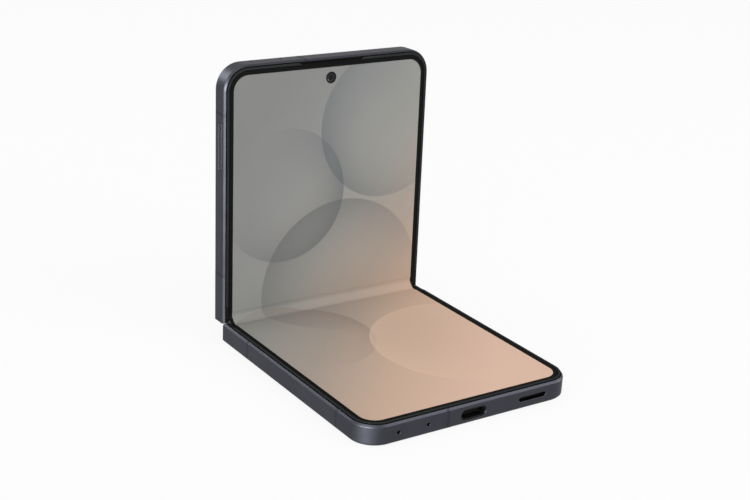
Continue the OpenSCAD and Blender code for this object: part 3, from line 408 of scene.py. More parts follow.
def picture_material():
    """A plain grey to peach ground with large overlapping discs that fade inwards."""
    t = Tree("screen_picture")
    t.place_from_uv("screen")
    scaled = t.add("VectorMath", {0: t.coords}, operation="SCALE")
    scaled.inputs["Scale"].default_value = 1 / MM
    place = scaled.outputs[0]
    xyz = t.add("SeparateXYZ", {0: place})
    slope = t.math("ADD", xyz.outputs[1], t.math("MULTIPLY", xyz.outputs[0], GROUND_SLANT))
    low, high = GROUND[0][0], GROUND[-1][0]
    ramp = t.add("ValToRGB", {0: t.remap(slope, 0, 1, low, high)})
    elements = ramp.color_ramp.elements
    for index, (stop, colour) in enumerate(GROUND):
        element = elements[index] if index < 2 else elements.new(1.0)
        element.position = (stop - low) / (high - low)
        element.color = (*srgb(*colour), 1)
    ground = ramp.outputs[0]
    for centre, radius, way, colour, strength in DISCS:
        offset = t.add("VectorMath", {0: place, 1: (*centre, 0)}, operation="SUBTRACT").outputs[0]
        distance = t.add("VectorMath", {0: offset}, operation="LENGTH").outputs["Value"]
        inside = t.remap(distance, 1, 0, radius - DISC_EDGE, radius + DISC_EDGE)
        rim = t.math("POWER", t.remap(distance, 0, 1, radius * RIM_FROM, radius), RIM_POWER)
        facing = t.add("VectorMath", {0: offset, 1: (*way, 0)}, operation="DOT_PRODUCT")
        lean = t.remap(facing.outputs["Value"], 0, 1, radius * LEAN_FROM, radius)
        cover = t.math("MULTIPLY", t.math("MULTIPLY", inside, rim), lean)
        ground = t.mix(t.math("MULTIPLY", cover, strength), ground, srgb(*colour))
    t.set("Base Color", ground)
    t.set("Roughness", t.remap(t.noise(14 * MM), 0.34, 0.38))
    t.set("Specular IOR Level", 0.0)
    t.set("Coat Weight", 0.04)
    t.set("Coat Roughness", COAT_ROUGHNESS)
    return t.material


picture = picture_material()
screen_border = surface(
    "screen_border", srgb(24, 25, 24), 0.35, variation=0.05, grain_depth=0.0, specular=0.0,
    coat=0.04, uv_map="screen"
)

# ---------- Mesh helpers ----------


def new_object(name, mesh, *materials, crease=35):
    """An object with smooth faces, sharp where they meet at more than the given angle."""
    mesh.polygons.foreach_set("use_smooth", [True] * len(mesh.polygons))
    mesh.set_sharp_from_angle(angle=math.radians(crease))
    obj = bpy.data.objects.new(name, mesh)
    bpy.context.scene.collection.objects.link(obj)
    dress(obj, *materials)
    return obj


def bake_modifier(obj, kind, **settings):
    """Adds a modifier and keeps its result as the object's own mesh."""
    modifier = obj.modifiers.new(kind.lower(), kind)
    for key, value in settings.items():
        setattr(modifier, key, value)
    bpy.context.view_layer.update()
    depsgraph = bpy.context.evaluated_depsgraph_get()
    mesh = bpy.data.meshes.new_from_object(obj.evaluated_get(depsgraph))
    obj.modifiers.clear()
    obj.data = mesh


def cut(obj, cutter):
    """Takes the cutter's volume out of obj, for good."""
    bake_modifier(obj, "BOOLEAN", operation="DIFFERENCE", solver="EXACT", object=cutter)
    bm = bmesh.new()
    bm.from_mesh(obj.data)
    bmesh.ops.remove_doubles(bm, verts=bm.verts, dist=WELD_CUT)
    bmesh.ops.dissolve_degenerate(bm, edges=bm.edges, dist=WELD_CUT)
    bm.to_mesh(obj.data)
    bm.free()
    obj.data.set_sharp_from_angle(angle=math.radians(40))
    bpy.data.objects.remove(cutter)


def stand_in(piece, node):
    """piece is shown in place of a CAD node and moves as the node does."""
    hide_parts(node)
    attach(piece, BODY_OF[node])


def lathe(name, profile, centre, axis, materials, bands=None, segments=64):
    """A turned piece: the profile is (radius, height along the axis) from the centre, and bands
    gives each stretch of the profile the number of its material."""
    turn = axis.to_track_quat("Z", "Y").to_matrix()
    bm = bmesh.new()
    rings = []
    for radius, height in profile:
        count = segments if radius > 0 else 1
        ring = []
        for k in range(count):
            a = 2 * math.pi * k / segments
            ring.append(bm.verts.new(
                centre + turn @ Vector((radius * math.cos(a), radius * math.sin(a), height))
            ))
        rings.append(ring)
    for stretch, (a, b) in enumerate(zip(rings, rings[1:])):
        for k in range(segments):
            n = (k + 1) % segments
            corners = [a[k % len(a)], a[n % len(a)], b[n % len(b)], b[k % len(b)]]
            corners = list(dict.fromkeys(corners))
            if len(corners) > 2:
                bm.faces.new(corners).material_index = bands[stretch] if bands else 0
    bmesh.ops.recalc_face_normals(bm, faces=bm.faces)
    mesh = bpy.data.meshes.new(name)
    bm.to_mesh(mesh)
    bm.free()
    return new_object(name, mesh, *materials)


def join(name, objects):
    """One object from several that share their materials."""
    bpy.ops.object.select_all(action="DESELECT")
    for obj in objects:
        obj.select_set(True)
    bpy.context.view_layer.objects.active = objects[0]
    bpy.ops.object.join()
    objects[0].name = name
    return objects[0]


def soften(
    node, width, edges_at, *materials, paint=None, move=None, seams=True, segments=3, sharp=28
):
    """A copy of a CAD node whose sharp edges are rounded where edges_at(x, s, d) holds. Faces
    take the material number that paint(x, s, d) gives, and points go where move(x, s, d) says.
    With seams off, the upright edges where two materials meet flush stay as they are."""
    side = SIDE_OF[node]
    bm = bmesh.new()
    bm.from_mesh(NODES[node].data)
    bmesh.ops.remove_doubles(bm, verts=bm.verts, dist=WELD_CAD)
    for vert in bm.verts if move else ():
        vert.co = at(side, *move(in_half(side, vert.co)))
    bmesh.ops.dissolve_limit(
        bm, angle_limit=math.radians(0.6), use_dissolve_boundaries=False, verts=bm.verts,
        edges=bm.edges
    )
    chosen = []
    for edge in bm.edges:
        if not edge.is_manifold or edge.calc_face_angle(0) < math.radians(sharp):
            continue
        ends = [in_half(side, v.co) for v in edge.verts]
        along = ends[1] - ends[0]
        if not seams and abs(along.z) > max(MM, 0.9 * along.length):
            continue
        if all(edges_at(p) for p in ends):
            chosen.append(edge)
    bmesh.ops.bevel(
        bm, geom=chosen, offset=width, offset_type="OFFSET", segments=segments, profile=0.5,
        affect="EDGES", clamp_overlap=False
    )
    if paint:
        for face in bm.faces:
            face.material_index = paint(in_half(side, face.calc_center_median()))
    mesh = bpy.data.meshes.new(node + "_soft")
    bm.to_mesh(mesh)
    bm.free()
    piece = new_object(node + "_soft", mesh, *materials)
    bake_modifier(piece, "WEIGHTED_NORMAL", keep_sharp=True, weight=100)
    stand_in(piece, node)
    return piece


SIDE_OF = {
    name: "upper" if body in ("upper_half", "sim_tray", "volume_key", "power_key") else "lower"
    for name, body in BODY_OF.items()
}

# ---------- The folding screen ----------

FOLD_ROWS, STRAIGHT_ROWS, CORNER_ROWS, COLUMNS = 30, 14, 12, 28
SHEET_T, SHEET_BEND_T, RIDGE = 0.5 * MM, 0.35 * MM, 0.21 * MM
# The sheet gets thinner towards the bend over this length
TAPER_L = 4 * MM
BEND_HALVINGS = 40


def turned(p, angle):
    """A point turned about the lower hinge axis."""
    return LOWER_AXIS + Matrix.Rotation(angle, 3, "X") @ (p - LOWER_AXIS)


bend_start = at("lower", 0, BEND_S, 0)
bend_end = turned(at("lower", 0, 0, 0), FOLD_ANGLE)


def bend_weight(p):
    way = bend_end - bend_start
    return smoothstep((p - bend_start).dot(way) / way.length_squared)


def bent(x, s, d):
    """The open screen is flat but for a slight ridge on each side of the fold, which keeps the bend
    from dipping at rest."""
    ridge = RIDGE * math.sin(math.pi * min(1, s / BEND_S)) ** 2
    flat = at("lower", 0, s, d - ridge)
    low, high = 0.0, 1.0
    for _ in range(BEND_HALVINGS):
        middle = (low + high) / 2
        if bend_weight(turned(flat, middle * FOLD_ANGLE)) > middle:
            low = middle
        else:
            high = middle
    p = turned(flat, high * FOLD_ANGLE)
    return Vector((x, p.y, p.z))


def screen_rows(half, length, radius):
    """(s, half width) of each row of a sheet with rounded far corners."""
    rows = [(BEND_S * k / FOLD_ROWS, half) for k in range(FOLD_ROWS)]
    corner = length - radius
    rows += [
        (BEND_S + (corner - BEND_S) * k / STRAIGHT_ROWS, half) for k in range(STRAIGHT_ROWS)
    ]
    for k in range(CORNER_ROWS + 1):
        turn = math.pi / 2 * k / CORNER_ROWS
        rows.append((corner + radius * math.sin(turn), half - radius + radius * math.cos(turn)))
    return rows


def screen_half(side):
    """One half of the screen with half of the bend: picture inside, black border round it."""
    outer_r = CORNER_R - PANEL_INSET
    inner = screen_rows(PANEL_W - BORDER_W, PANEL_L - BORDER_W, outer_r - BORDER_W)
    outer = screen_rows(PANEL_W, PANEL_L, outer_r)
    flat = []
    grid = []
    for s, half in inner:
        grid.append([len(flat) + j for j in range(COLUMNS + 1)])
        flat += [(half * (2 * j / COLUMNS - 1), s) for j in range(COLUMNS + 1)]
    rim = [row[0] for row in grid[:-1]] + grid[-1] + [row[-1] for row in reversed(grid[:-1])]
    places = [(-half, s) for s, half in outer[:-1]]
    places += [(flat[v][0], outer[-1][0]) for v in grid[-1]]
    places += [(half, s) for s, half in reversed(outer[:-1])]
    edge = [len(flat) + k for k in range(len(places))]
    flat += places
    faces = []
    for a, b in zip(grid, grid[1:]):
        faces += [((a[j], b[j], b[j + 1], a[j + 1]), 0) for j in range(COLUMNS)]
    faces += [((edge[k], edge[k + 1], rim[k + 1], rim[k]), 1) for k in range(len(rim) - 1)]
    top = len(flat)
    verts = []
    for lower_face in (False, True):
        for x, s in flat:
            thick = SHEET_BEND_T + (SHEET_T - SHEET_BEND_T) * smoothstep((s - BEND_S) / TAPER_L)
            verts.append(bent(x, s, thick if lower_face else 0.0))
    faces += [(tuple(v + top for v in reversed(face)), 1) for face, _ in faces]
    loop = edge + list(reversed(grid[0]))
    for a, b in zip(loop, loop[1:] + loop[:1]):
        faces.append(((b, a, a + top, b + top), 1))
    if side == "upper":
        verts = [reflect(v) for v in verts]
        faces = [(tuple(reversed(face)), index) for face, index in faces]
    mesh = bpy.data.meshes.new("screen_" + side)
    mesh.from_pydata(verts, [], [face for face, _ in faces])
    mesh.polygons.foreach_set("material_index", [index for _, index in faces])
    layer = mesh.uv_layers.new(name="screen")
    sign = 1 if side == "upper" else -1
    for corner, loop_data in enumerate(mesh.loops):
        x, s = flat[loop_data.vertex_index % top]
        layer.data[corner].uv = (0.5 + x / MAP_SIDE, 0.5 + sign * s / MAP_SIDE)
    return new_object("screen_" + side, mesh, picture, screen_border, crease=40)


out_of = {
    side: (at(side, 0, 0, 0) - at(side, 0, 0, MM)).normalized() for side in ("lower", "upper")
}
eye_low, eye_high = half_box("upper", "front_camera")
PUNCH_S = (eye_low.y + eye_high.y) / 2
# Radius of the camera's hole in the screen, as in the CAD source
PUNCH_R = 1.9 * MM

screen_lower = screen_half("lower")
screen_upper = screen_half("upper")
punch = lathe(
    "punch",
    [(0, -MM), (PUNCH_R, -MM), (PUNCH_R, MM), (0, MM)],
    at("upper", 0, PUNCH_S, 0),
    out_of["upper"],
    [screen_border],
)
cut(screen_upper, punch)
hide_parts("display_lower", "display_fold")
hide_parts("display_upper")
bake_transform(screen_lower)
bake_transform(screen_upper)

# ---------- Frames, glass and trim with rounded edges ----------

EDGE_W = 0.1 * MM
# The bevel beside the screen, and the insets of the thin land between it and the lip
BEVEL_W = 0.5 * MM
LAND_FROM, LAND_TO = 0.45 * MM, 0.57 * MM
RIM_D, LAND_D = 0.72 * MM, 0.15 * MM
# Slack when a face or a point is told by its place
SLACK = 0.01 * MM
# A frame's edges nearer to the fold line than this stay as they are
FOLD_END_S = 1.2 * MM


def outer_edge(p):
    """Edges that show on a frame's outer faces, but for the thin land beside the screen."""
    return inset(p) < BEVEL_W + 2 * SLACK and p.z > 0.5 * MM and p.y > FOLD_END_S


def groove_shade_index(p):
    """1 for the faces between a frame's bevel and its lip, and for the walls of its openings: these are painted
    black as shade.
    """
    beside_lip = inset(p) > BEVEL_W + SLACK and -0.1 * MM < p.z < RIM_D
    in_opening = inset(p) > 0.14 * MM and MM < p.z < BODY_T - MM and p.y > 10 * MM
    return 1 if beside_lip or in_opening else 0


def below_lip(p):
    """Sinks the thin land beside the lip, which is also painted black as shade, so that a dark gap parts the lip
    from the bevel.
    """
    on_land = LAND_FROM < inset(p) < LAND_TO and abs(p.z) < 2 * SLACK
    return (p.x, p.y, LAND_D) if on_land else tuple(p)


def on_back(p):
    return p.z > BODY_T - SLACK


def on_face(p):
    """Edges of what stands in a side wall's openings, at its outer face."""
    return abs(p.x) > HALF_W - 0.05 * MM


def everywhere(p):
    return True


for part_name in ("lower", "upper"):
    soften(
        part_name + "_frame", EDGE_W, outer_edge, frame_metal, painted_groove_shade, paint=groove_shade_index,
        move=below_lip, seams=False
    )
    soften(
        part_name + "_antenna_breaks", 0.05 * MM, outer_edge, break_plastic, painted_groove_shade,
        paint=groove_shade_index, move=below_lip, seams=False
    )
    soften(part_name + "_fold_caps", 0.12 * MM, everywhere, cap_rubber)
soften("lower_back_glass", 0.3 * MM, on_back, back_satin)
soften("cover_glass", 0.3 * MM, on_back, cover_gloss)
soften("sim_tray", 0.08 * MM, on_face, frame_metal)
soften("volume_key", 0.28 * MM, on_face, frame_metal, segments=5)
soften("power_key", 0.28 * MM, on_face, frame_metal, segments=5)
soften("hinge_cover", 0.12 * MM, everywhere, hinge_metal)
soften("hinge_end_caps", 0.1 * MM, everywhere, black_plastic)

# ---------- The raised lips round the screen ----------

LIP_OUT, LIP_IN, LIP_END = 0.78 * MM, 1.52 * MM, 1.9 * MM
LIP_TOP, LIP_LOW = 0.3 * MM, 0.65 * MM
LIP_ROUND, LIP_TURN = 0.16 * MM, 4
LIP_START = half_box("lower", "lower_bezel")[0].y
SLOT_W = (half_box("upper", "earpiece_mesh")[1].x + 0.1 * MM) * 2
SLOT_FOOT, SLOT_OUT, SLOT_IN = 1.08 * MM, 1.38 * MM, 1.74 * MM
LIP_CORNER_STEPS = 20
# The lip rises from its fold end over this length, and narrows to the slot over that one
LIP_TAPER, SLOT_TAPER = 0.1 * MM, 0.7 * MM
# (inset past the ridge, depth) where the black strip starts, and its depth at the lip's end
STRIP_FROM, STRIP_END_D = (0.04 * MM, -0.06 * MM), -0.02 * MM


def lip_section(outer, inner, top, foot=None):
    """(inset, depth) of the lip's outline: a ridge with rounded edges, then a flat black strip
    beside the screen. foot is the inset of the outer wall's lower edge."""
    points = [(foot or outer, LIP_LOW)]
    turns = [math.pi / 2 * k / LIP_TURN for k in range(LIP_TURN + 1)]
    for a in turns:
        points.append((outer + LIP_ROUND * (1 - math.cos(a)), LIP_ROUND * (1 - math.sin(a)) - top))
    for a in turns:
        points.append((inner - LIP_ROUND * (1 - math.sin(a)), LIP_ROUND * (1 - math.cos(a)) - top))
    points += [(inner + STRIP_FROM[0], STRIP_FROM[1]), (LIP_END, STRIP_END_D), (LIP_END, LIP_LOW)]
    return points


def lip_stations(slot):
    """(x, s, outward x, outward s, section) from the left side's fold end to the right side's."""
    full = lip_section(LIP_OUT, LIP_IN, LIP_TOP)
    tip = lip_section(LIP_OUT + LIP_TAPER, LIP_IN - LIP_TAPER, LIP_TOP - LIP_TAPER)
    left = [(-HALF_W, LIP_START, -1, 0, tip), (-HALF_W, LIP_START + LIP_TAPER, -1, 0, full)]
    for k in range(LIP_CORNER_STEPS + 1):
        a = math.pi / 2 * k / LIP_CORNER_STEPS
        out_x, out_s = -math.cos(a), math.sin(a)
        left.append((CORNER_R * out_x - CORNER_X, CORNER_S + CORNER_R * out_s, out_x, out_s, full))
    if slot:
        narrow = lip_section(SLOT_OUT, SLOT_IN, LIP_TOP, SLOT_FOOT)
        left.append((-SLOT_W / 2, HALF_L, 0, 1, full))
        left.append((SLOT_TAPER - SLOT_W / 2, HALF_L, 0, 1, narrow))
    return left + [(-x, s, -out_x, out_s, section) for x, s, out_x, out_s, section in left[::-1]]


def lip(side):
    verts, faces, index = [], [], []
    stations = lip_stations(side == "upper")
    count = len(stations[0][4])
    ridge = 2 * LIP_TURN + 2
    for x, s, out_x, out_s, section in stations:
        verts += [at(side, x - u * out_x, s - u * out_s, d) for u, d in section]
    for k in range(len(stations) - 1):
        a, b = k * count, (k + 1) * count
        faces += [(a + j, a + (j + 1) % count, b + (j + 1) % count, b + j) for j in range(count)]
        # Painted shade: the lip's outer wall, and the whole lip along the earpiece slot, take the black finish;
        # its inner wall and strip beside the screen are the border's own black
        in_slot = stations[k][4][0][0] == stations[k + 1][4][0][0] == SLOT_FOOT
        index += [1 if in_slot or not 0 < j < ridge else 0 for j in range(count)]
    faces += [tuple(range(count))[::-1], tuple(range(len(verts) - count, len(verts)))]
    mesh = bpy.data.meshes.new("lip_" + side)
    mesh.from_pydata(verts, [], faces)
    mesh.polygons.foreach_set("material_index", index + [0, 0])
    bm = bmesh.new()
    bm.from_mesh(mesh)
    bmesh.ops.recalc_face_normals(bm, faces=bm.faces)
    bm.to_mesh(mesh)
    bm.free()
    piece = new_object("lip_" + side, mesh, bezel_plastic, black_trim_and_painted_shade, crease=40)
    stand_in(piece, side + "_bezel")


lip("lower")
lip("upper")

# ---------- Cameras, flash and socket ----------

ring_low, ring_high = half_box("upper", "camera_rings")
RING_R = (ring_high.y - ring_low.y) / 2
RING_OUT = ring_high.z - BODY_T
CAMERA_S = (ring_low.y + ring_high.y) / 2
CAMERAS = (ring_low.x + RING_R, ring_high.x - RING_R)
lens_low, lens_high = half_box("upper", "camera_lenses")
LENS_R = (lens_high.y - lens_low.y) / 2
RING_FOOT = -1.5 * MM
RING_PLAY = 0.05 * MM
# Millimetres (in from the ring's outside, below its top) and (out from its hole, below its top)
RING_OUTSIDE = ((0, 0.42), (0.06, 0.2), (0.22, 0.05), (0.45, 0))
RING_INSIDE = ((0.4, 0), (0.28, 0.05), (0.22, 0.16), (0, 0.2))
# How far a lens window lies below its ring's top, its foot above the back face, its chamfer
LENS_DROP, LENS_FOOT, LENS_EDGE = 0.25 * MM, 0.05 * MM, 0.08 * MM
# The window's inner edge, then the steps of the well, in millimetres
WINDOW_IN = ((3.25, 0), (3.2, 0.04))
WELL_STEPS, WELL_R, WELL_STEP, WELL_DROP, WELL_SINK = 4, 3.0, 0.25, 0.1, 0.08
WELL_LAND, WELL_WALL = 0.04 * MM, 0.06 * MM
DOME_R, DOME_H, DOME_DROP, DOME_STEPS = 2.1 * MM, 0.26 * MM, 0.42 * MM, 8


def dome(radius, height, steps):
    """(radius, height) from just inside a dome's foot to its top, which is on the axis."""
    turns = [math.pi / 2 * k / steps for k in range(1, steps + 1)]
    points = [(radius * math.cos(a), height * math.sin(a)) for a in turns]
    return points[:-1] + [(0, points[-1][1])]


def stepped_ring(x, k):
    """A lens ring with a polished chamfer and a stepped inner edge."""
    hole = LENS_R + RING_PLAY
    profile = [(hole, RING_FOOT), (RING_R, RING_FOOT)]
    profile += [(RING_R - u * MM, RING_OUT - drop * MM) for u, drop in RING_OUTSIDE]
    profile += [(hole + u * MM, RING_OUT - drop * MM) for u, drop in RING_INSIDE]
    profile.append((hole, RING_FOOT))
    return lathe(
        "ring_%d" % k, profile, at("upper", x, CAMERA_S, BODY_T), -out_of["upper"],
        [ring_metal, lens_black], [0] * 7 + [1] * 3, segments=96
    )


def lens_stack(x, k):
    """A flat black window ring, a grooved well and a domed front element."""
    top = RING_OUT - LENS_DROP
    profile = [(0, LENS_FOOT), (LENS_R, LENS_FOOT), (LENS_R, top - LENS_EDGE)]
    profile.append((LENS_R - LENS_EDGE, top))
    profile += [(radius * MM, top - drop * MM) for radius, drop in WINDOW_IN]
    bands = [1] * 3 + [0] * 2
    for step in range(WELL_STEPS):
        radius = (WELL_R - WELL_STEP * step) * MM
        height = top - (WELL_DROP + WELL_SINK * step) * MM
        profile += [(radius, height), (radius - WELL_LAND, height - WELL_WALL)]
        bands += [1, 1]
    base = top - DOME_DROP
    profile.append((DOME_R, base))
    bands.append(1)
    for radius, height in dome(DOME_R, DOME_H, DOME_STEPS):
        profile.append((radius, base + height))
        bands.append(2)
    return lathe(
        "lens_%d" % k, profile, at("upper", x, CAMERA_S, BODY_T), -out_of["upper"],
        [lens_black, lens_well, lens_glass], bands, segments=96
    )


stand_in(join("lens_rings", [stepped_ring(x, k) for k, x in enumerate(CAMERAS)]), "camera_rings")
stand_in(join("lenses", [lens_stack(x, k) for k, x in enumerate(CAMERAS)]), "camera_lenses")

flash_low, flash_high = half_box("upper", "flash_lens")
FLASH_R = (flash_high.x - flash_low.x) / 2
# A stem below the window, then the window's rim, grooved rings and middle
STEM_R, STEM_FOOT, WINDOW_FOOT = 1.2 * MM, -1.6 * MM, -0.8 * MM
FLASH_RINGS, FLASH_RIM, FLASH_PITCH = 6, 0.25, 0.22
GROOVE_WALL, GROOVE_W, GROOVE_D, FLASH_DISH = 0.04 * MM, 0.18 * MM, 0.09 * MM, 0.02 * MM
flash_profile = [(0, STEM_FOOT), (STEM_R, STEM_FOOT), (STEM_R, WINDOW_FOOT)]
flash_profile += [(FLASH_R, WINDOW_FOOT), (FLASH_R, -0.1 * MM), (FLASH_R - 0.08 * MM, 0)]
for ring in range(FLASH_RINGS):
    ring_r = FLASH_R - (FLASH_RIM + FLASH_PITCH * ring) * MM
    flash_profile += [(ring_r, 0), (ring_r - GROOVE_WALL, -GROOVE_D), (ring_r - GROOVE_W, 0)]
flash_profile.append((0, -FLASH_DISH))
flash_x, flash_s = (flash_low.x + flash_high.x) / 2, (flash_low.y + flash_high.y) / 2
flash_centre = at("upper", flash_x, flash_s, BODY_T)
stand_in(
    lathe("flash_window", flash_profile, flash_centre, -out_of["upper"], [flash_plastic]),
    "flash_lens"
)

# The front camera's window round a small dome
EYE_R, PUPIL_R, PUPIL_FOOT, PUPIL_H, PUPIL_STEPS = 1.8 * MM, 0.95 * MM, 0.015 * MM, 0.05 * MM, 6
eye_profile = [(0, -0.05 * MM), (EYE_R, -0.05 * MM), (EYE_R, 0.05 * MM)]
eye_profile += [(EYE_R - 0.04 * MM, 0.08 * MM), (1.15 * MM, 0.08 * MM), (1.1 * MM, 0.05 * MM)]
eye_profile.append((PUPIL_R, PUPIL_FOOT))
eye_profile += [(r, PUPIL_FOOT + h) for r, h in dome(PUPIL_R, PUPIL_H, PUPIL_STEPS)]
eye = lathe(
    "front_lens", eye_profile, at("upper", 0, PUNCH_S, 0.1 * MM), out_of["upper"],
    [eye_black, lens_well], [0] * 4 + [1] * 2 + [0] * 6
)
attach(eye, "upper_half")

port_low, port_high = half_box("lower", "usb_c_port")
PORT_D = (port_low.z + port_high.z) / 2
TONGUE_HALF_T = 0.35 * MM
CONTACTS, CONTACT_PITCH, CONTACT_W = 12, 0.5 * MM, 0.26 * MM
# How far a contact's ends lie inside the mouth, how far it is sunk and raised, and its chamfer
CONTACT_FROM, CONTACT_TO = 1.35 * MM, 5.2 * MM
CONTACT_SUNK, CONTACT_RAISED, CONTACT_TRIM = 0.05 * MM, 0.02 * MM, 0.03 * MM


def socket_black_and_shade(p):
    """1 for the faces inside the socket's mouth, which take the black finish: painted shade on the shell's inner
    walls, and the tongue's own black.
    """
    deep = p.y < port_high.y - 0.2 * MM
    return 1 if deep and port_low.z + 0.1 * MM < p.z < port_high.z - 0.1 * MM else 0


def at_mouth(p):
    return p.y > port_high.y - 2 * SLACK


def contact_strips():
    """Two rows of plated contacts, one on each face of the socket's tongue."""
    bm = bmesh.new()
    for face in (-1, 1):
        for k in range(CONTACTS):
            x = (k - (CONTACTS - 1) / 2) * CONTACT_PITCH
            d = PORT_D + face * TONGUE_HALF_T
            corners = []
            for rise, trim in ((-CONTACT_SUNK, 0), (CONTACT_RAISED, CONTACT_TRIM)):
                half = CONTACT_W / 2 - trim
                for way, s in (
                    (-1, CONTACT_FROM), (1, CONTACT_FROM), (1, CONTACT_TO), (-1, CONTACT_TO)
                ):
                    place = at("lower", x + way * half, port_high.y - s, d + face * rise)
                    corners.append(bm.verts.new(place))
            for a in range(4):
                b = (a + 1) % 4
                bm.faces.new((corners[a], corners[b], corners[b + 4], corners[a + 4]))
            bm.faces.new(corners[:4])
            bm.faces.new(corners[4:])
    bmesh.ops.recalc_face_normals(bm, faces=bm.faces)
    mesh = bpy.data.meshes.new("socket_contacts")
    bm.to_mesh(mesh)
    bm.free()
    return new_object("socket_contacts", mesh, contact_gold)


soften("usb_c_port", 0.07 * MM, at_mouth, port_metal, black_trim_and_painted_shade, paint=socket_black_and_shade)
contacts = contact_strips()
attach(contacts, "lower_half")

# ---------- Ribbon cables, split at the hinge --------------


def flex_half(side):
    """The cables' part on one side of the hinge, between that half and the hinge."""
    bm = bmesh.new()
    bm.from_mesh(NODES["hinge_flex_cables"].data)
    bmesh.ops.remove_doubles(bm, verts=bm.verts, dist=WELD_CAD)
    sign = 1 if side == "lower" else -1
    cut_result = bmesh.ops.bisect_plane(
        bm, geom=bm.verts[:] + bm.edges[:] + bm.faces[:], plane_co=hinge_middle,
        plane_no=hinge_way * sign, clear_outer=True, dist=WELD_CUT
    )
    open_edges = [e for e in cut_result["geom_cut"] if isinstance(e, bmesh.types.BMEdge)]
    bmesh.ops.holes_fill(bm, edges=open_edges)
    bmesh.ops.triangulate(bm, faces=bm.faces)
    mesh = bpy.data.meshes.new("flex_" + side)
    bm.to_mesh(mesh)
    bm.free()
    piece = new_object("flex_" + side, mesh, film)
    return piece


flex_lower, flex_upper = flex_half("lower"), flex_half("upper")
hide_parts("hinge_flex_cables")
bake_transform(flex_lower)
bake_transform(flex_upper)

# ---------- Floor, light and camera ----------

FLOOR_SIDE, FLOOR_Z = 6.0, -0.02 * MM
# Share of the floor's own light in the rays that see the background
FLOOR_GLOW = 0.88
WORLD_LEVEL = 0.6
bpy.ops.mesh.primitive_plane_add(size=FLOOR_SIDE, location=(0, 0, FLOOR_Z))
floor = bpy.context.object
floor.name = "floor"


def background_rays(add):
    """1 for rays that see the background: from the camera, in gloss or through glass."""
    path = add("ShaderNodeLightPath")
    return [path.outputs[kind] for kind in
            ("Is Camera Ray", "Is Glossy Ray", "Is Transmission Ray")]


def floor_material():
    """Pale and even; it looks almost white to the camera and in reflections, and keeps shadows."""
    t = Tree("floor_pale")
    t.set("Base Color", t.mix(t.remap(t.noise(0.4), 0, 1), (0.87, 0.87, 0.87), (0.89, 0.89, 0.89)))
    t.set("Roughness", 0.9)
    t.set("Specular IOR Level", 0.2)
    glow = t.add("Emission", {"Color": (1, 1, 1, 1), "Strength": 1.0})
    camera_ray, glossy_ray, through_ray = background_rays(t.tree.nodes.new)
    seen = t.math("MAXIMUM", t.math("MAXIMUM", camera_ray, glossy_ray), through_ray)
    blend = t.add("MixShader", {0: t.math("MULTIPLY", seen, FLOOR_GLOW)})
    t.tree.links.new(t.shader.outputs[0], blend.inputs[1])
    t.tree.links.new(glow.outputs[0], blend.inputs[2])
    t.tree.links.new(blend.outputs[0], t.tree.nodes["Material Output"].inputs["Surface"])
    return t.material


dress(floor, floor_material())


def studio_world(level):
    """White where it is seen, and softer as a light on the object."""
    world = bpy.data.worlds.new("studio")
    world.use_nodes = True
    tree = world.node_tree
    lit = tree.nodes["Background"]
    lit.inputs["Color"].default_value = (1, 1, 1, 1)
    lit.inputs["Strength"].default_value = level
    white = tree.nodes.new("ShaderNodeBackground")
    white.inputs["Color"].default_value = (1, 1, 1, 1)
    white.inputs["Strength"].default_value = 1.0
    seen = None
    for ray in background_rays(tree.nodes.new):
        if seen is None:
            seen = ray
            continue
        either = tree.nodes.new("ShaderNodeMath")
        either.operation = "MAXIMUM"
        tree.links.new(seen, either.inputs[0])
        tree.links.new(ray, either.inputs[1])
        seen = either.outputs[0]
    blend = tree.nodes.new("ShaderNodeMixShader")
    tree.links.new(seen, blend.inputs[0])
    tree.links.new(lit.outputs[0], blend.inputs[1])
    tree.links.new(white.outputs[0], blend.inputs[2])
    tree.links.new(blend.outputs[0], tree.nodes["World Output"].inputs["Surface"])
    return world


bpy.context.scene.world = studio_world(WORLD_LEVEL)

LAMPS_AIM = Vector((0, 0, 0.03))


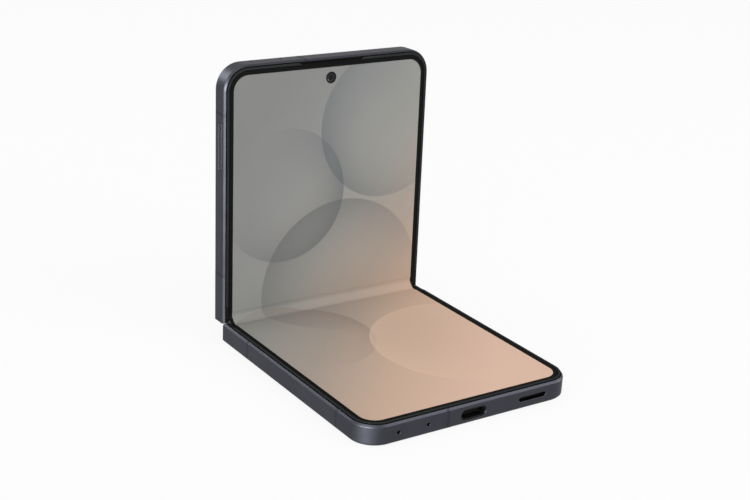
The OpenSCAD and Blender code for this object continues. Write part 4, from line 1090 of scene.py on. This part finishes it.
def softbox(name, place, size, brightness, gleam):
    """A rectangular lamp aimed at the phone; brightness 1 looks white in a mirror. A gleam adds
    highlights alone, and leaves the light on matt surfaces as it is."""
    light = bpy.data.lights.new(name, "AREA")
    light.shape = "RECTANGLE"
    light.size, light.size_y = size
    light.energy = brightness * math.pi * size[0] * size[1]
    obj = bpy.data.objects.new(name, light)
    obj.location = place
    aim = LAMPS_AIM - Vector(place)
    obj.rotation_euler = aim.to_track_quat("-Z", "Y").to_euler()
    obj.visible_camera = False
    obj.visible_diffuse = not gleam
    bpy.context.scene.collection.objects.link(obj)


# (name, place, size, brightness, gleam)
LAMPS = (
    ("overhead", (-0.1, -0.1, 1.3), (1.2, 1.2), 0.9, False),
    ("low_left", (-1.0, -0.4, 0.11), (1.0, 0.2), 9.0, False),
    ("front_right", (0.62, -0.8, 0.6), (0.8, 0.6), 1.9, False),
    ("gleam_corner", (-0.93, -0.58, 0.16), (0.55, 0.3), 85.0, True),
    ("gleam_left", (-1.15, -0.1, 0.11), (0.5, 0.2), 8.0, True),
    ("gleam_back", (-0.45, 0.95, 0.5), (0.5, 0.4), 8.0, True),
    ("gleam_front", (0.62, -0.82, 0.58), (0.6, 0.5), 1.6, True),
    ("gleam_right", (0.95, -0.44, 0.11), (0.6, 0.2), 18.0, True),
)
for lamp in LAMPS:
    softbox(*lamp)

# The camera that the photograph was solved for: 750 x 500 frame
CAMERA_PLACE = Vector((-234.66, -329.65, 187.24)) * MM
CAMERA_YAW, CAMERA_PITCH, CAMERA_ROLL = (math.radians(a) for a in (34.402, 20.164, 2.997))
SENSOR_W, LENS_L = 36, 68.44
ahead = Vector((
    math.sin(CAMERA_YAW) * math.cos(CAMERA_PITCH),
    math.cos(CAMERA_YAW) * math.cos(CAMERA_PITCH),
    -math.sin(CAMERA_PITCH),
))
level = Vector((math.cos(CAMERA_YAW), -math.sin(CAMERA_YAW), 0))
over = level.cross(ahead)
right = level * math.cos(CAMERA_ROLL) + over * math.sin(CAMERA_ROLL)
up = over * math.cos(CAMERA_ROLL) - level * math.sin(CAMERA_ROLL)
lens = bpy.data.cameras.new("camera")
lens.sensor_width = SENSOR_W
lens.lens = LENS_L
lens.clip_start, lens.clip_end = 0.01, 20
camera = bpy.data.objects.new("camera", lens)
camera.matrix_world = Matrix.Translation(CAMERA_PLACE) @ Matrix(
    (right, up, -ahead)
).transposed().to_4x4()
bpy.context.scene.collection.objects.link(camera)
bpy.context.scene.camera = camera
bpy.context.scene.view_settings.view_transform = "Standard"
